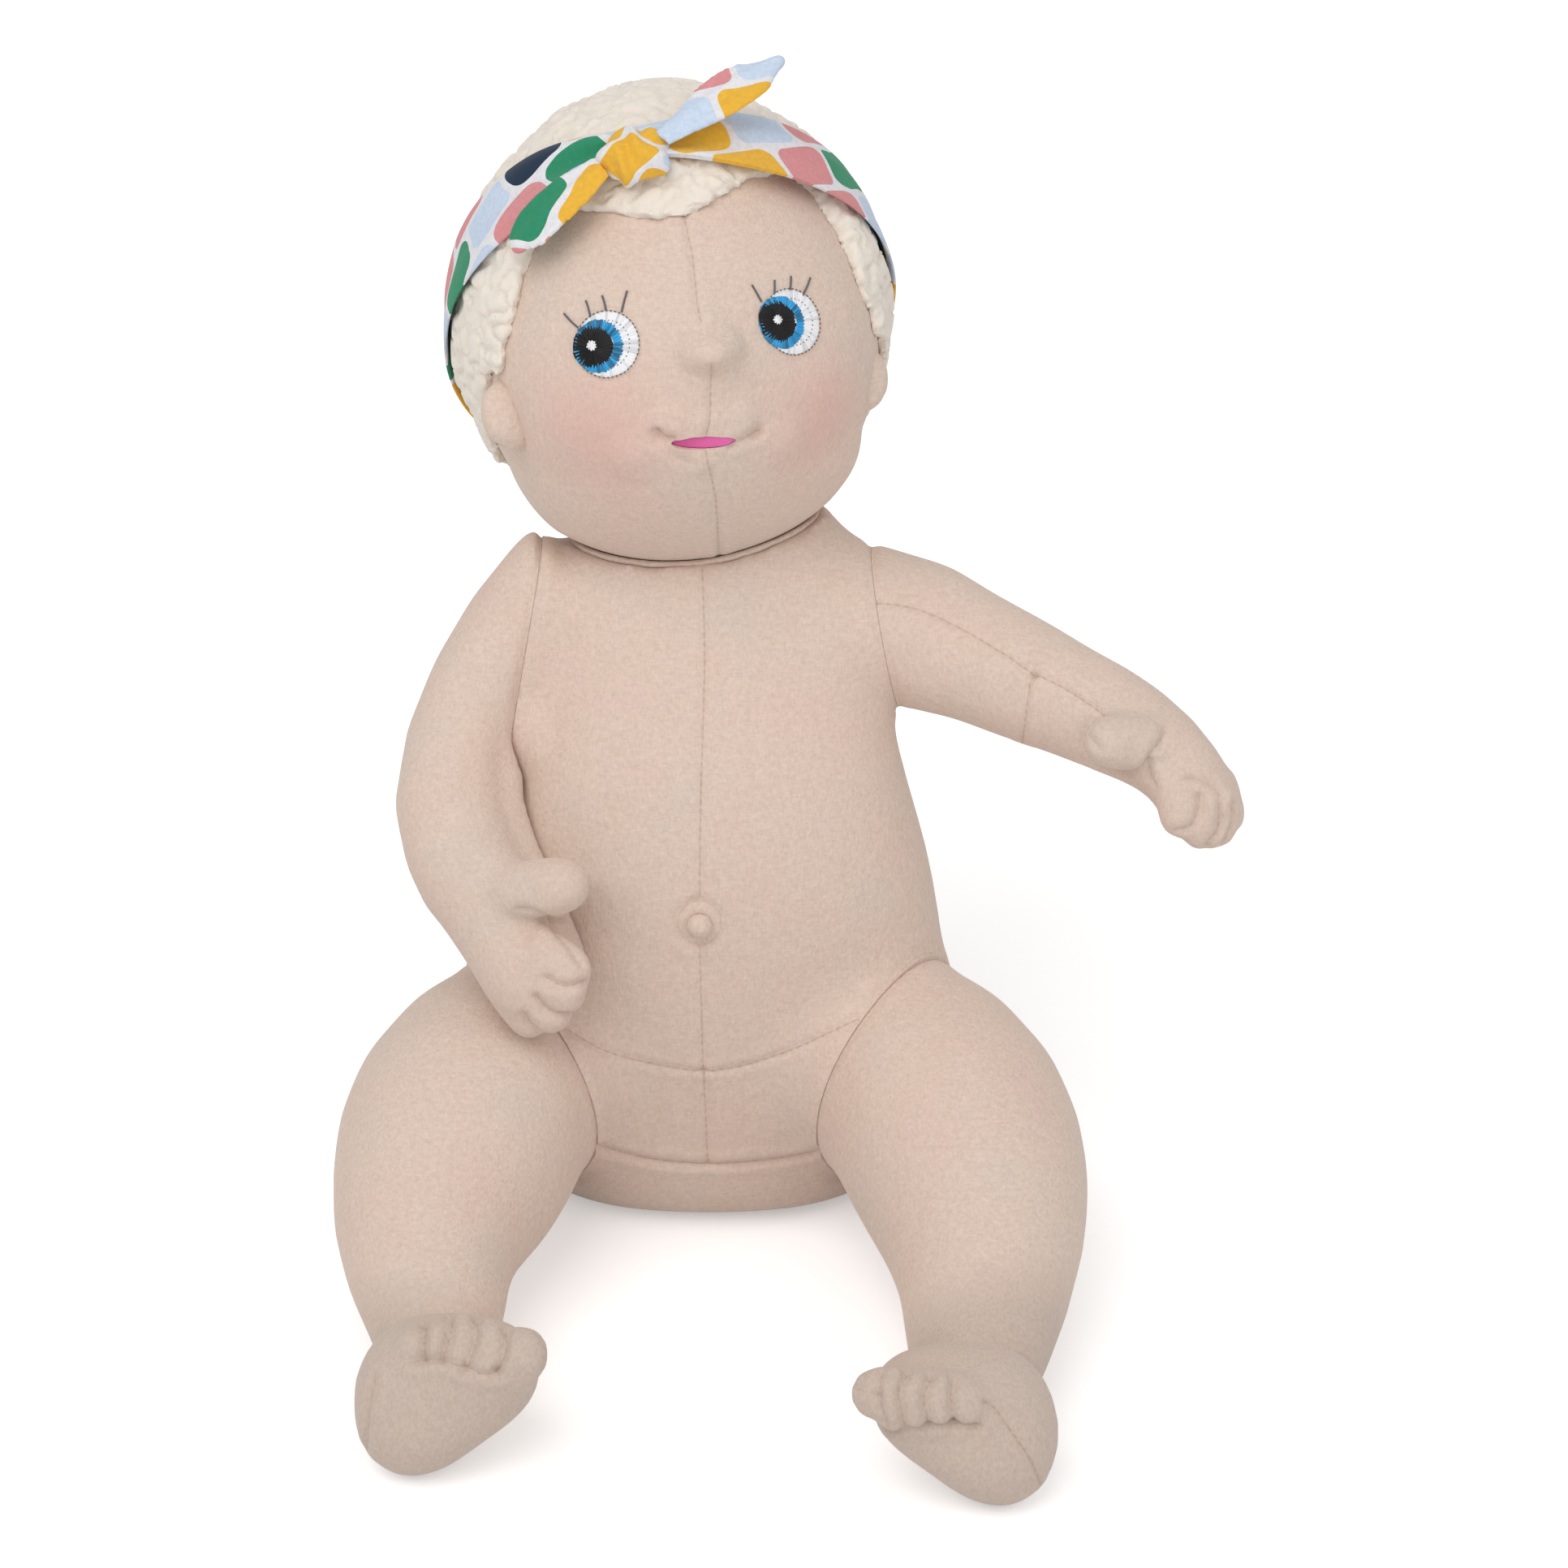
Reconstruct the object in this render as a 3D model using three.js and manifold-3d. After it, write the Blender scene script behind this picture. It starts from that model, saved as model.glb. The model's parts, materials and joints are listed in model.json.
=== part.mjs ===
// A cloth baby doll that sits with its legs forward: a stuffed felt body, arms and legs, a round
// head with embroidered eyes and a fleece hair cap, and a tied cotton headband that comes off.
// Millimetres, Z up. The doll faces -Y. Left and right are the doll's own, so its left is +X.
// The origin is the middle of the flat face that it sits on.

import * as THREE from 'three';
import { mergeVertices } from 'three/addons/utils/BufferGeometryUtils.js';
import Module from 'manifold-3d';

const wasm = await Module();
wasm.setup();

// Fits between pieces, and the flat that the floor presses into whatever rests on it
const gap = 0.3;
const seatCut = 0.5;
const floorWidth = 400;
const floorDepth = 10;
const weldDistance = 0.0001;

// How the far end of a stuffed tube rounds off, as shares of a quarter turn
const roundEndShares = [0.35, 0.68, 0.93];

// Torso
const torsoHeight = 204;
const torsoHalfWidth = 65;
const torsoHalfDepth = 40;
const torsoSides = 28;
const torsoRoundness = 2.3;
// Height, half width, front and back of each section, as shares of the three sizes above
const torsoShares = [
  [0.0, 0.62, -0.55, 0.6],
  [0.02, 0.8, -0.78, 0.76],
  [0.07, 0.91, -0.95, 0.87],
  [0.15, 0.97, -1.03, 0.9],
  [0.235, 1.0, -1.05, 0.9],
  [0.325, 0.99, -1.05, 0.88],
  [0.41, 0.955, -1.03, 0.85],
  [0.5, 0.9, -1.0, 0.84],
  [0.59, 0.82, -0.9, 0.87],
  [0.675, 0.76, -0.72, 0.94],
  [0.755, 0.71, -0.46, 1.03],
  [0.825, 0.65, -0.22, 1.13],
  [0.89, 0.58, -0.03, 1.14],
  [0.95, 0.44, 0.15, 1.06],
  [1.0, 0.2, 0.5, 0.9],
];
const navelHeight = 101;
const navelOffset = -1.5;
const navelRadius = 3.6;
const navelColumns = 12;
const navelRows = 8;

// Shoulders and arms
const shoulderHalfSpan = 46.5;
const shoulderForward = 12;
const shoulderHeight = 163;
const shoulderSlope = THREE.MathUtils.degToRad(10.5);
const armLength = 110;
const armRadius = 21;
const armSides = 14;
const armRows = 10;
const armSeamShare = 1.6;
const seamRootShare = 0.75;
const seamSides = 20;
// The way each arm leaves its shoulder, and its radius there as a share
const rightArmRoot = new THREE.Vector3(-0.73, -0.15, -0.67).normalize();
const rightRootShare = 0.75;
const leftArmRoot = new THREE.Vector3(Math.cos(shoulderSlope), 0, Math.sin(shoulderSlope));
const leftRootShare = 1;
// Route points as shares of the arm's length from the shoulder, and the radius there
const rightArmShares = [
  [-0.139, -0.118, -0.168, 0.645],
  [-0.184, -0.3, -0.33, 0.69],
  [-0.133, -0.4, -0.455, 0.71],
  [-0.075, -0.464, -0.529, 0.64],
  [0.008, -0.555, -0.652, 0.59],
];
const leftArmShares = [
  [0.149, -0.036, -0.045, 0.85],
  [0.301, -0.127, -0.076, 0.79],
  [0.433, -0.227, -0.093, 0.7],
  [0.527, -0.3, -0.105, 0.66],
  [0.618, -0.373, -0.127, 0.58],
  [0.686, -0.427, -0.17, 0.52],
  [0.726, -0.459, -0.226, 0.5],
];
// Thumb and four fingers: base point, tip point and radius, as shares of the same length
const fingerSides = 7;
const fingerRows = 2;
const rightFingerShares = [
  [[-0.039, -0.509, -0.443], [0.088, -0.573, -0.393], 0.072],
  [[0.018, -0.582, -0.541], [0.104, -0.618, -0.59], 0.057],
  [[0.008, -0.6, -0.597], [0.096, -0.636, -0.645], 0.053],
  [[-0.012, -0.6, -0.646], [0.06, -0.627, -0.71], 0.051],
  [[-0.043, -0.582, -0.687], [0.004, -0.6, -0.745], 0.048],
];
const leftFingerShares = [
  [[0.607, -0.436, -0.089], [0.52, -0.473, -0.066], 0.068],
  [[0.659, -0.482, -0.139], [0.678, -0.527, -0.228], 0.053],
  [[0.704, -0.482, -0.152], [0.725, -0.518, -0.268], 0.051],
  [[0.74, -0.464, -0.167], [0.767, -0.491, -0.28], 0.051],
  [[0.771, -0.436, -0.182], [0.796, -0.455, -0.27], 0.047],
];

// Hips and legs
const hipHalfSpan = 48;
const hipForward = -25;
const hipHeight = 48;
const hipNormalShares = [0.778, -0.601, -0.179];
const legLength = 100;
const legRadius = 31;
const legSides = 20;
const legRows = 9;
const legSeamShare = 1.3;
const leftLegShares = [
  [0.13, -0.165, -0.02, 1.05],
  [0.21, -0.37, -0.1, 1.02],
  [0.245, -0.62, -0.185, 0.82],
  [0.22, -0.9, -0.27, 0.6],
];
const rightLegShares = [
  [-0.12, -0.155, -0.02, 1.05],
  [-0.19, -0.35, -0.1, 1.02],
  [-0.235, -0.57, -0.18, 0.8],
  [-0.21, -0.79, -0.26, 0.58],
];

// Feet
const footRadius = 25;
const footThickness = 30;
const footTilt = THREE.MathUtils.degToRad(-20);
const footColumns = 18;
const footRows = 8;
const footFullnessShare = 0.75;
// Places of the middle of each foot from the hip, as shares of the leg's length
const leftFootShares = [0.185, -1.21, -0.28];
const rightFootShares = [-0.175, -1.09, -0.28];
// The sole's outline, every 30 degrees from the outer side upwards, as shares of the foot's radius
const soleShares = [0.91, 0.9, 0.89, 0.84, 0.93, 1.12, 0.96, 0.68, 0.63, 0.76, 0.97, 0.97];
const toeCount = 5;
const toeColumns = 8;
const toeRows = 5;
const toePitch = 6.3;
const bigToeRadius = 4.8;
const toeShrinkShare = 0.93;
const toeLengthShare = 1.55;
const toeRowHeight = 10.5;
const toeRowStart = -22;
const toeRise = 5.5;

// Head
const headCentre = new THREE.Vector3(-8.5, 38, 234);
const headTurn = new THREE.Euler(
  THREE.MathUtils.degToRad(-30),
  THREE.MathUtils.degToRad(-6),
  THREE.MathUtils.degToRad(9),
);
const headHalfWidth = 53;
const headFront = 54;
const headBack = 57;
const headHeight = 60;
const headColumns = 32;
const headRows = 21;
// Azimuth and elevation in degrees, spread in radians, and height over the round head
const noseHeight = 6;
const cheekHeight = 4;
const chinHeight = 3;
const socketDepth = 1.2;
const headBumps = [
  { azimuth: 0, elevation: -9.4, spread: 0.13, height: noseHeight },
  { azimuth: -40, elevation: -17, spread: 0.35, height: cheekHeight },
  { azimuth: 40, elevation: -17, spread: 0.35, height: cheekHeight },
  { azimuth: 0, elevation: -41, spread: 0.3, height: chinHeight },
  { azimuth: -25, elevation: -5, spread: 0.2, height: -socketDepth },
  { azimuth: 24, elevation: -5, spread: 0.2, height: -socketDepth },
];

// Neck
const neckBase = new THREE.Vector3(-2, 18, 178);
const neckHalfAngle = 27;
const neckThickness = 3.4;
const neckFit = 0.5;
const neckClearance = 0.6;
const neckSides = 26;
const neckRows = 4;
const hollowColumns = 34;
const hollowRows = 24;
const neckSeatFade = 44;

// Hair
const hairThickness = 4.5;
const hairColumns = 48;
const hairRows = 5;
const hairEdgeRoundness = 5;
const hairEdgeShare = 0.4;
const hairCrownShare = 0.05;
const hairRootShare = 0.75;
// Azimuth and elevation of the cap's lower edge, in degrees, from the back round by the right side
const hairEdge = [
  [-180, -32],
  [-120, -32],
  [-100, -30],
  [-86, -24],
  [-76, -16],
  [-68, -9],
  [-62, -11],
  [-56, -8],
  [-52, 8],
  [-47, 27],
  [-40, 31],
  [-26, 30],
  [-18, 26],
  [-8, 25],
  [2, 26],
  [11, 30],
  [24, 36],
  [42, 37],
  [49, 28],
  [51, 14],
  [53, 0],
  [57, -9],
  [68, -9],
  [76, -16],
  [86, -24],
  [100, -30],
  [120, -32],
  [180, -32],
];

// Ears
const earHalfWidth = 9;
const earHalfHeight = 9.5;
const earHalfThickness = 5;
const earColumns = 12;
const earRows = 8;
const earAzimuth = 66;
const earElevation = -20;

// Eyes: azimuth, elevation and radius of each stitched disc
const eyeStitch = 0.6;
const eyeWhiteRadius = 8.8;
const irisRadius = 6.9;
const pupilRadius = 4.8;
const glintRadius = 1.3;
const eyeSides = 14;
const eyes = {
  right: { white: [-25.7, -6.9], iris: [-28.0, -7.0], pupil: [-29.8, -7.0], glint: [-29.8, -6.6] },
  left: { white: [25.1, -5.5], iris: [22.6, -5.4], pupil: [21.2, -5.0], glint: [20.9, -4.6] },
};

// Mouth
const mouthWidth = 24;
const mouthHeight = 6.4;
const mouthRoll = THREE.MathUtils.degToRad(6);
const mouthDepth = 13;
const mouthWall = 0.5;
const mouthAzimuth = -1.5;
const mouthElevation = -34;
const mouthSides = 16;
const mouthOverrun = 8;
const mouthSquarenessShare = 0.6;

// Headband
const bandHalfWidth = 11;
const bandThickness = 1.1;
const bandFit = 0.5;
const bandHeight = 13.3;
const bandTilt = THREE.MathUtils.degToRad(32.4);
const bandColumns = 40;
const bandLevels = 3;
const bandPasses = 12;
const bandPinchShare = 0.45;
const bandPinchSpread = 0.32;
const knotAzimuth = -14;
const knotElevation = 38.5;
const knotHalfWidth = 9.5;
const knotHalfHeight = 8.5;
const knotHalfDepth = 7;
const knotLift = 0.6;
const knotColumns = 14;
const knotRows = 10;
const tailThickness = 3.2;
const tailHalfWidth = 6.6;
const tailRise = 3.4;
const tailSides = 8;
const tailRows = 9;
// Azimuth and elevation in degrees, and rise over the band and half width as shares
const leftTail = [
  { azimuth: -6, elevation: 40, riseShare: 1.3, widthShare: 0.5 },
  { azimuth: 3, elevation: 44, riseShare: 1.7, widthShare: 0.75 },
  { azimuth: 12, elevation: 46.5, riseShare: 2.5, widthShare: 1.1 },
  { azimuth: 22, elevation: 48.5, riseShare: 3.6, widthShare: 1.05 },
  { azimuth: 33, elevation: 50, riseShare: 4.8, widthShare: 0.3 },
];
const rightTail = [
  { azimuth: -22, elevation: 36, riseShare: 0.8, widthShare: 0.65 },
  { azimuth: -29, elevation: 31.5, riseShare: 0.8, widthShare: 0.95 },
  { azimuth: -36, elevation: 27, riseShare: 0.8, widthShare: 1.1 },
  { azimuth: -42, elevation: 22.5, riseShare: 0.75, widthShare: 1.05 },
  { azimuth: -46, elevation: 19.5, riseShare: 0.7, widthShare: 0.6 },
];

// Materials
const felt = { color: 0xd9c8b8, roughness: 0.95, metalness: 0 };
const fleece = { color: 0xf0e9da, roughness: 1, metalness: 0 };
const whiteThread = { color: 0xf4f4f6, roughness: 0.55, metalness: 0 };
const blueThread = { color: 0x2f9ad6, roughness: 0.5, metalness: 0 };
const blackThread = { color: 0x14110f, roughness: 0.5, metalness: 0 };
const pinkCloth = { color: 0xe26aa8, roughness: 0.8, metalness: 0 };
const printedCotton = { color: 0xe6b432, roughness: 0.8, metalness: 0 };

const fullTurn = 360;
const halfTurn = 180;
const quarterTurn = 90;
const upAxis = new THREE.Vector3(0, 0, 1);
const sideAxis = new THREE.Vector3(1, 0, 0);
const backAxis = new THREE.Vector3(0, 1, 0);
const viewerAxis = new THREE.Vector3(0, -0.8, 0.6);

// Turns a geometry into a closed solid that can be cut and joined
function solidOf(geometry) {
  const bare = geometry.clone();
  bare.deleteAttribute('normal');
  bare.deleteAttribute('uv');
  const welded = mergeVertices(bare, weldDistance);
  return new wasm.Manifold(new wasm.Mesh({
    numProp: 3,
    vertProperties: new Float32Array(welded.attributes.position.array),
    triVerts: new Uint32Array(welded.index.array),
  }));
}

// Turns a solid back into a geometry
function geometryOf(solid) {
  const { vertProperties, triVerts } = solid.getMesh();
  const geometry = new THREE.BufferGeometry();
  geometry.setAttribute('position', new THREE.BufferAttribute(new Float32Array(vertProperties), 3));
  geometry.setIndex(new THREE.BufferAttribute(new Uint32Array(triVerts), 1));
  geometry.computeVertexNormals();
  return geometry;
}

function addPiece(parent, name, geometry, finish) {
  const piece = new THREE.Mesh(geometry, new THREE.MeshStandardMaterial(finish));
  piece.name = name;
  parent.add(piece);
  return piece;
}

// Six times the volume inside a list of triangles, below zero where they face inwards
function signedVolume(points, indices) {
  let total = 0;
  for (let i = 0; i < indices.length; i += 3) {
    const a = points[indices[i]];
    const b = points[indices[i + 1]];
    const c = points[indices[i + 2]];
    total += a.dot(new THREE.Vector3().crossVectors(b, c));
  }
  return total;
}

// A closed geometry from points and triangles, turned so that its faces point out
function closedGeometry(points, indices) {
  const facing = signedVolume(points, indices) > 0 ? indices : indices.slice().reverse();
  const geometry = new THREE.BufferGeometry();
  geometry.setFromPoints(points);
  geometry.setIndex(facing);
  geometry.computeVertexNormals();
  return geometry;
}

// The triangles between neighbouring rings, which all have the same number of points
function bandTriangles(count, first, second) {
  const triangles = [];
  for (let i = 0; i < count; i += 1) {
    const next = (i + 1) % count;
    triangles.push(first + i, first + next, second + next);
    triangles.push(first + i, second + next, second + i);
  }
  return triangles;
}

// One closed body over a stack of rings, with a fan over each end
function skinned(rings) {
  const count = rings[0].length;
  const points = rings.flat();
  const indices = [];
  for (let row = 1; row < rings.length; row += 1) {
    indices.push(...bandTriangles(count, (row - 1) * count, row * count));
  }
  const ends = [rings[0], rings[rings.length - 1]];
  ends.forEach((ring, end) => {
    const middle = new THREE.Vector3();
    ring.forEach((point) => middle.addScaledVector(point, 1 / count));
    const hub = points.push(middle) - 1;
    const base = end === 0 ? 0 : (rings.length - 1) * count;
    for (let i = 0; i < count; i += 1) {
      const next = (i + 1) % count;
      const edge = end === 0 ? [base + next, base + i] : [base + i, base + next];
      indices.push(hub, ...edge);
    }
  });
  return closedGeometry(points, indices);
}

// One closed body round a loop of sections
function looped(sections) {
  const count = sections[0].length;
  const indices = [];
  sections.forEach((section, column) => {
    const next = (column + 1) % sections.length;
    indices.push(...bandTriangles(count, column * count, next * count));
  });
  return closedGeometry(sections.flat(), indices);
}

// A smooth value at a place between 0 and 1 along a list of numbers
function smoothAt(values, place) {
  const last = values.length - 1;
  const index = Math.min(Math.floor(place * last), last - 1);
  const t = place * last - index;
  const before = values[Math.max(index - 1, 0)];
  const from = values[index];
  const to = values[index + 1];
  const after = values[Math.min(index + 2, last)];
  const leave = (to - before) / 2;
  const arrive = (after - from) / 2;
  const cubic = 2 * from - 2 * to + leave + arrive;
  const square = -3 * from + 3 * to - 2 * leave - arrive;
  return ((cubic * t + square) * t + leave) * t + from;
}

// A ring of points round a centre, in the plane of two directions
function ringAround(centre, across, along, halfAcross, halfAlong, sides) {
  return Array.from({ length: sides }, (_, i) => {
    const angle = (i / sides) * Math.PI * 2;
    return centre.clone()
      .addScaledVector(across, Math.cos(angle) * halfAcross)
      .addScaledVector(along, Math.sin(angle) * halfAlong);
  });
}

// A stuffed tube along a route, with a rounded far end. Each stop is a point and its two half widths.
function stuffedTube(stops, sides, rows, reference, extra) {
  const curve = new THREE.CatmullRomCurve3(stops.map((stop) => stop.point));
  const widths = stops.map((stop) => stop.halfWidth);
  const depths = stops.map((stop) => stop.halfDepth);
  const rings = [];
  for (let row = 0; row <= rows; row += 1) {
    const place = row / rows;
    const tangent = curve.getTangent(place);
    const along = new THREE.Vector3().crossVectors(tangent, reference).normalize();
    const across = new THREE.Vector3().crossVectors(along, tangent);
    const halfWidth = smoothAt(widths, place) + extra;
    const halfDepth = smoothAt(depths, place) + extra;
    rings.push(ringAround(curve.getPoint(place), across, along, halfDepth, halfWidth, sides));
    if (row === rows) {
      for (const share of roundEndShares) {
        const angle = share * Math.PI / 2;
        const reach = Math.sin(angle) * Math.min(halfWidth, halfDepth);
        const centre = curve.getPoint(place).addScaledVector(tangent, reach);
        const narrow = Math.cos(angle);
        rings.push(ringAround(centre, across, along, halfDepth * narrow, halfWidth * narrow, sides));
      }
    }
  }
  return skinned(rings);
}

// A closed cylinder whose near face lies in a plane, standing along the plane's normal
function plugFrom(centre, normal, radius, depth, offset) {
  const plug = new THREE.CylinderGeometry(radius, radius, depth, seamSides);
  plug.translate(0, depth / 2 + offset, 0);
  plug.applyQuaternion(new THREE.Quaternion().setFromUnitVectors(backAxis, normal));
  plug.translate(centre.x, centre.y, centre.z);
  return solidOf(plug);
}

// The torso's stuffed form, grown by a clearance where a neighbour is cut by it
function torsoForm(extra) {
  const height = torsoHeight + seatCut;
  const rings = torsoShares.map(([heightShare, widthShare, frontShare, backShare]) => {
    const level = heightShare * height - seatCut;
    const halfWidth = widthShare * torsoHalfWidth + extra;
    const front = frontShare * torsoHalfDepth - extra;
    const back = backShare * torsoHalfDepth + extra;
    return Array.from({ length: torsoSides }, (_, i) => {
      const angle = (i / torsoSides) * Math.PI * 2;
      const x = Math.sign(Math.cos(angle)) * Math.abs(Math.cos(angle)) ** (2 / torsoRoundness);
      const y = Math.sign(Math.sin(angle)) * Math.abs(Math.sin(angle)) ** (2 / torsoRoundness);
      return new THREE.Vector3(
        x * halfWidth,
        (front + back) / 2 + y * (back - front) / 2,
        level,
      );
    });
  });
  return solidOf(skinned(rings));
}

// A limb's route from inside its seam outwards, from shares of its length
function limbStops({ centre, root, rootShare, length, radius, shares }) {
  const stops = [-1, 0].map((inward) => ({
    point: centre.clone().addScaledVector(root, inward * radius * seamRootShare),
    halfWidth: radius * rootShare,
    halfDepth: radius * rootShare,
  }));
  for (const [x, y, z, radiusShare] of shares) {
    stops.push({
      point: new THREE.Vector3(x, y, z).multiplyScalar(length).add(centre),
      halfWidth: radius * radiusShare,
      halfDepth: radius * radiusShare,
    });
  }
  return stops;
}

// A thumb or finger from its base and tip, as shares of the arm's length from the shoulder
function fingerForm(centre, [base, tip, radiusShare]) {
  const stops = [base, tip].map((place) => ({
    point: new THREE.Vector3(...place).multiplyScalar(armLength).add(centre),
    halfWidth: radiusShare * armLength,
    halfDepth: radiusShare * armLength,
  }));
  return solidOf(stuffedTube(stops, fingerSides, fingerRows, viewerAxis, 0));
}

// The head's radius in a direction of its own frame, where the face looks along -Y
const headRotation = new THREE.Quaternion().setFromEuler(headTurn);
const neckAxis = new THREE.Vector3().subVectors(headCentre, neckBase).normalize();
const neckSide = neckAxis.clone().negate().applyQuaternion(headRotation.clone().invert());

function directionAt(azimuth, elevation) {
  const a = THREE.MathUtils.degToRad(azimuth);
  const e = THREE.MathUtils.degToRad(elevation);
  return new THREE.Vector3(
    Math.cos(e) * Math.sin(a),
    -Math.cos(e) * Math.cos(a),
    Math.sin(e),
  );
}

function headRadius(direction) {
  const depth = direction.y < 0 ? headFront : headBack;
  let radius = 1 / Math.hypot(
    direction.x / headHalfWidth,
    direction.y / depth,
    direction.z / headHeight,
  );
  for (const bump of headBumps) {
    const away = direction.angleTo(directionAt(bump.azimuth, bump.elevation)) / bump.spread;
    radius += bump.height * Math.exp(-away * away / 2);
  }
  const fromNeck = THREE.MathUtils.radToDeg(direction.angleTo(neckSide));
  const seated = 1 - THREE.MathUtils.smoothstep(fromNeck, neckHalfAngle, neckSeatFade);
  return THREE.MathUtils.lerp(radius, headHeight, seated);
}

// Elevation of the hair's lower edge at an azimuth, in degrees
function hairEdgeAt(azimuth) {
  const next = Math.max(hairEdge.findIndex(([a]) => a >= azimuth), 1);
  const [fromAzimuth, fromElevation] = hairEdge[next - 1];
  const [toAzimuth, toElevation] = hairEdge[next];
  const share = (azimuth - fromAzimuth) / (toAzimuth - fromAzimuth);
  return THREE.MathUtils.lerp(fromElevation, toElevation, share);
}

// The radius of the head with its hair on
function dressedRadius(direction) {
  const azimuth = THREE.MathUtils.radToDeg(Math.atan2(direction.x, -direction.y));
  const elevation = THREE.MathUtils.radToDeg(Math.asin(direction.z));
  const covered = elevation > hairEdgeAt(azimuth);
  return headRadius(direction) + (covered ? gap + hairThickness : 0);
}

// A closed body whose radius is known in every direction from the head's centre
function starForm(radiusAt, columns, rows) {
  const geometry = new THREE.SphereGeometry(1, columns, rows);
  geometry.rotateX(Math.PI / 2);
  const places = geometry.attributes.position;
  const direction = new THREE.Vector3();
  for (let i = 0; i < places.count; i += 1) {
    direction.fromBufferAttribute(places, i).normalize();
    const radius = radiusAt(direction);
    places.setXYZ(i, direction.x * radius, direction.y * radius, direction.z * radius);
  }
  return solidOf(geometry);
}

// The hair as a thick cap that reaches down into the head, before the head is cut out of it
function hairForm(extra) {
  const rings = [];
  const ringAt = (share, radiusAt) => Array.from({ length: hairColumns }, (_, column) => {
    const azimuth = (column / hairColumns) * fullTurn - halfTurn;
    const edge = hairEdgeAt(azimuth) - THREE.MathUtils.radToDeg(extra / headHeight);
    const direction = directionAt(azimuth, THREE.MathUtils.lerp(quarterTurn, edge, share));
    return direction.multiplyScalar(radiusAt(direction));
  });
  for (let row = 0; row <= hairRows; row += 1) {
    const share = Math.max(row / hairRows, hairCrownShare);
    const swell = Math.sqrt(1 - share ** hairEdgeRoundness);
    const thickness = hairThickness * THREE.MathUtils.lerp(hairEdgeShare, 1, swell);
    rings.push(ringAt(share, (direction) => headRadius(direction) + gap + thickness + extra));
  }
  for (let row = hairRows; row >= 1; row -= 2) {
    rings.push(ringAt(row / hairRows, () => headHeight * hairRootShare));
  }
  return solidOf(skinned(rings));
}

// A disc on the head's surface, between two heights over it, with its top in rows from the middle
function discForm([azimuth, elevation], radius, low, high, rows) {
  const middle = directionAt(azimuth, elevation);
  const across = new THREE.Vector3().crossVectors(middle, upAxis).normalize();
  const along = new THREE.Vector3().crossVectors(across, middle);
  const ringAt = (share, rise) => {
    const centre = middle.clone().multiplyScalar(headRadius(middle));
    return ringAround(centre, across, along, radius * share, radius * share, eyeSides).map((point) => {
      const direction = point.normalize();
      return direction.clone().multiplyScalar(headRadius(direction) + rise);
    });
  };
  const rings = [];
  for (let row = 1; row <= rows; row += 1) {
    rings.push(ringAt(row / rows, high));
  }
  rings.push(ringAt(1, low));
  return solidOf(skinned(rings));
}

// The mouth's slot, level at rest, drawn in by a clearance
function mouthForm(inset) {
  const toHead = headRotation.clone().invert();
  const across = sideAxis.clone().applyAxisAngle(backAxis, mouthRoll).applyQuaternion(toHead);
  const inward = backAxis.clone().applyQuaternion(toHead);
  const along = new THREE.Vector3().crossVectors(across, inward);
  const direction = directionAt(mouthAzimuth, mouthElevation);
  const lips = direction.multiplyScalar(headRadius(direction));
  const halfWidth = mouthWidth / 2 - inset;
  const halfHeight = mouthHeight / 2 - inset;
  const rings = [-mouthOverrun, mouthDepth - inset].map((reach) => {
    const centre = lips.clone().addScaledVector(inward, reach);
    return ringAround(centre, across, along, 1, 1, mouthSides).map((point) => {
      const offset = point.sub(centre);
      const x = offset.dot(across);
      const z = offset.dot(along);
      const squareness = Math.max(Math.abs(x), Math.abs(z)) ** mouthSquarenessShare;
      return centre.clone()
        .addScaledVector(across, x / squareness * halfWidth)
        .addScaledVector(along, z / squareness * halfHeight);
    });
  });
  return solidOf(skinned(rings));
}

// A small ear that stands out from the side of the head
function earForm(side) {
  const outward = directionAt(side * earAzimuth, earElevation);
  const thin = new THREE.Vector3().crossVectors(upAxis, outward).normalize();
  const along = new THREE.Vector3().crossVectors(outward, thin);
  const ear = new THREE.SphereGeometry(1, earColumns, earRows);
  ear.applyMatrix4(new THREE.Matrix4().makeBasis(
    outward.clone().multiplyScalar(earHalfWidth),
    thin.clone().multiplyScalar(earHalfThickness),
    along.clone().multiplyScalar(earHalfHeight),
  ));
  const place = outward.multiplyScalar(headRadius(outward));
  ear.translate(place.x, place.y, place.z);
  return solidOf(ear);
}

// The neck: a soft bowl between the torso and the round underside of the head
function neckForm() {
  const inner = headHeight + neckFit;
  const outer = inner + neckThickness;
  const profile = [];
  for (let row = 0; row <= neckRows; row += 1) {
    const angle = THREE.MathUtils.degToRad(row / neckRows * neckHalfAngle);
    profile.push(new THREE.Vector2(Math.sin(angle) * outer, -Math.cos(angle) * outer));
  }
  const rim = THREE.MathUtils.degToRad(neckHalfAngle + THREE.MathUtils.radToDeg(neckThickness / 2 / outer));
  const middle = (inner + outer) / 2;
  profile.push(new THREE.Vector2(Math.sin(rim) * middle, -Math.cos(rim) * middle));
  for (let row = neckRows; row >= 0; row -= 1) {
    const angle = THREE.MathUtils.degToRad(row / neckRows * neckHalfAngle);
    profile.push(new THREE.Vector2(Math.sin(angle) * inner, -Math.cos(angle) * inner));
  }
  profile[0].x = 0;
  profile[profile.length - 1].x = 0;
  const bowl = new THREE.LatheGeometry(profile, neckSides);
  return solidOf(bowl);
}

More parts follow.
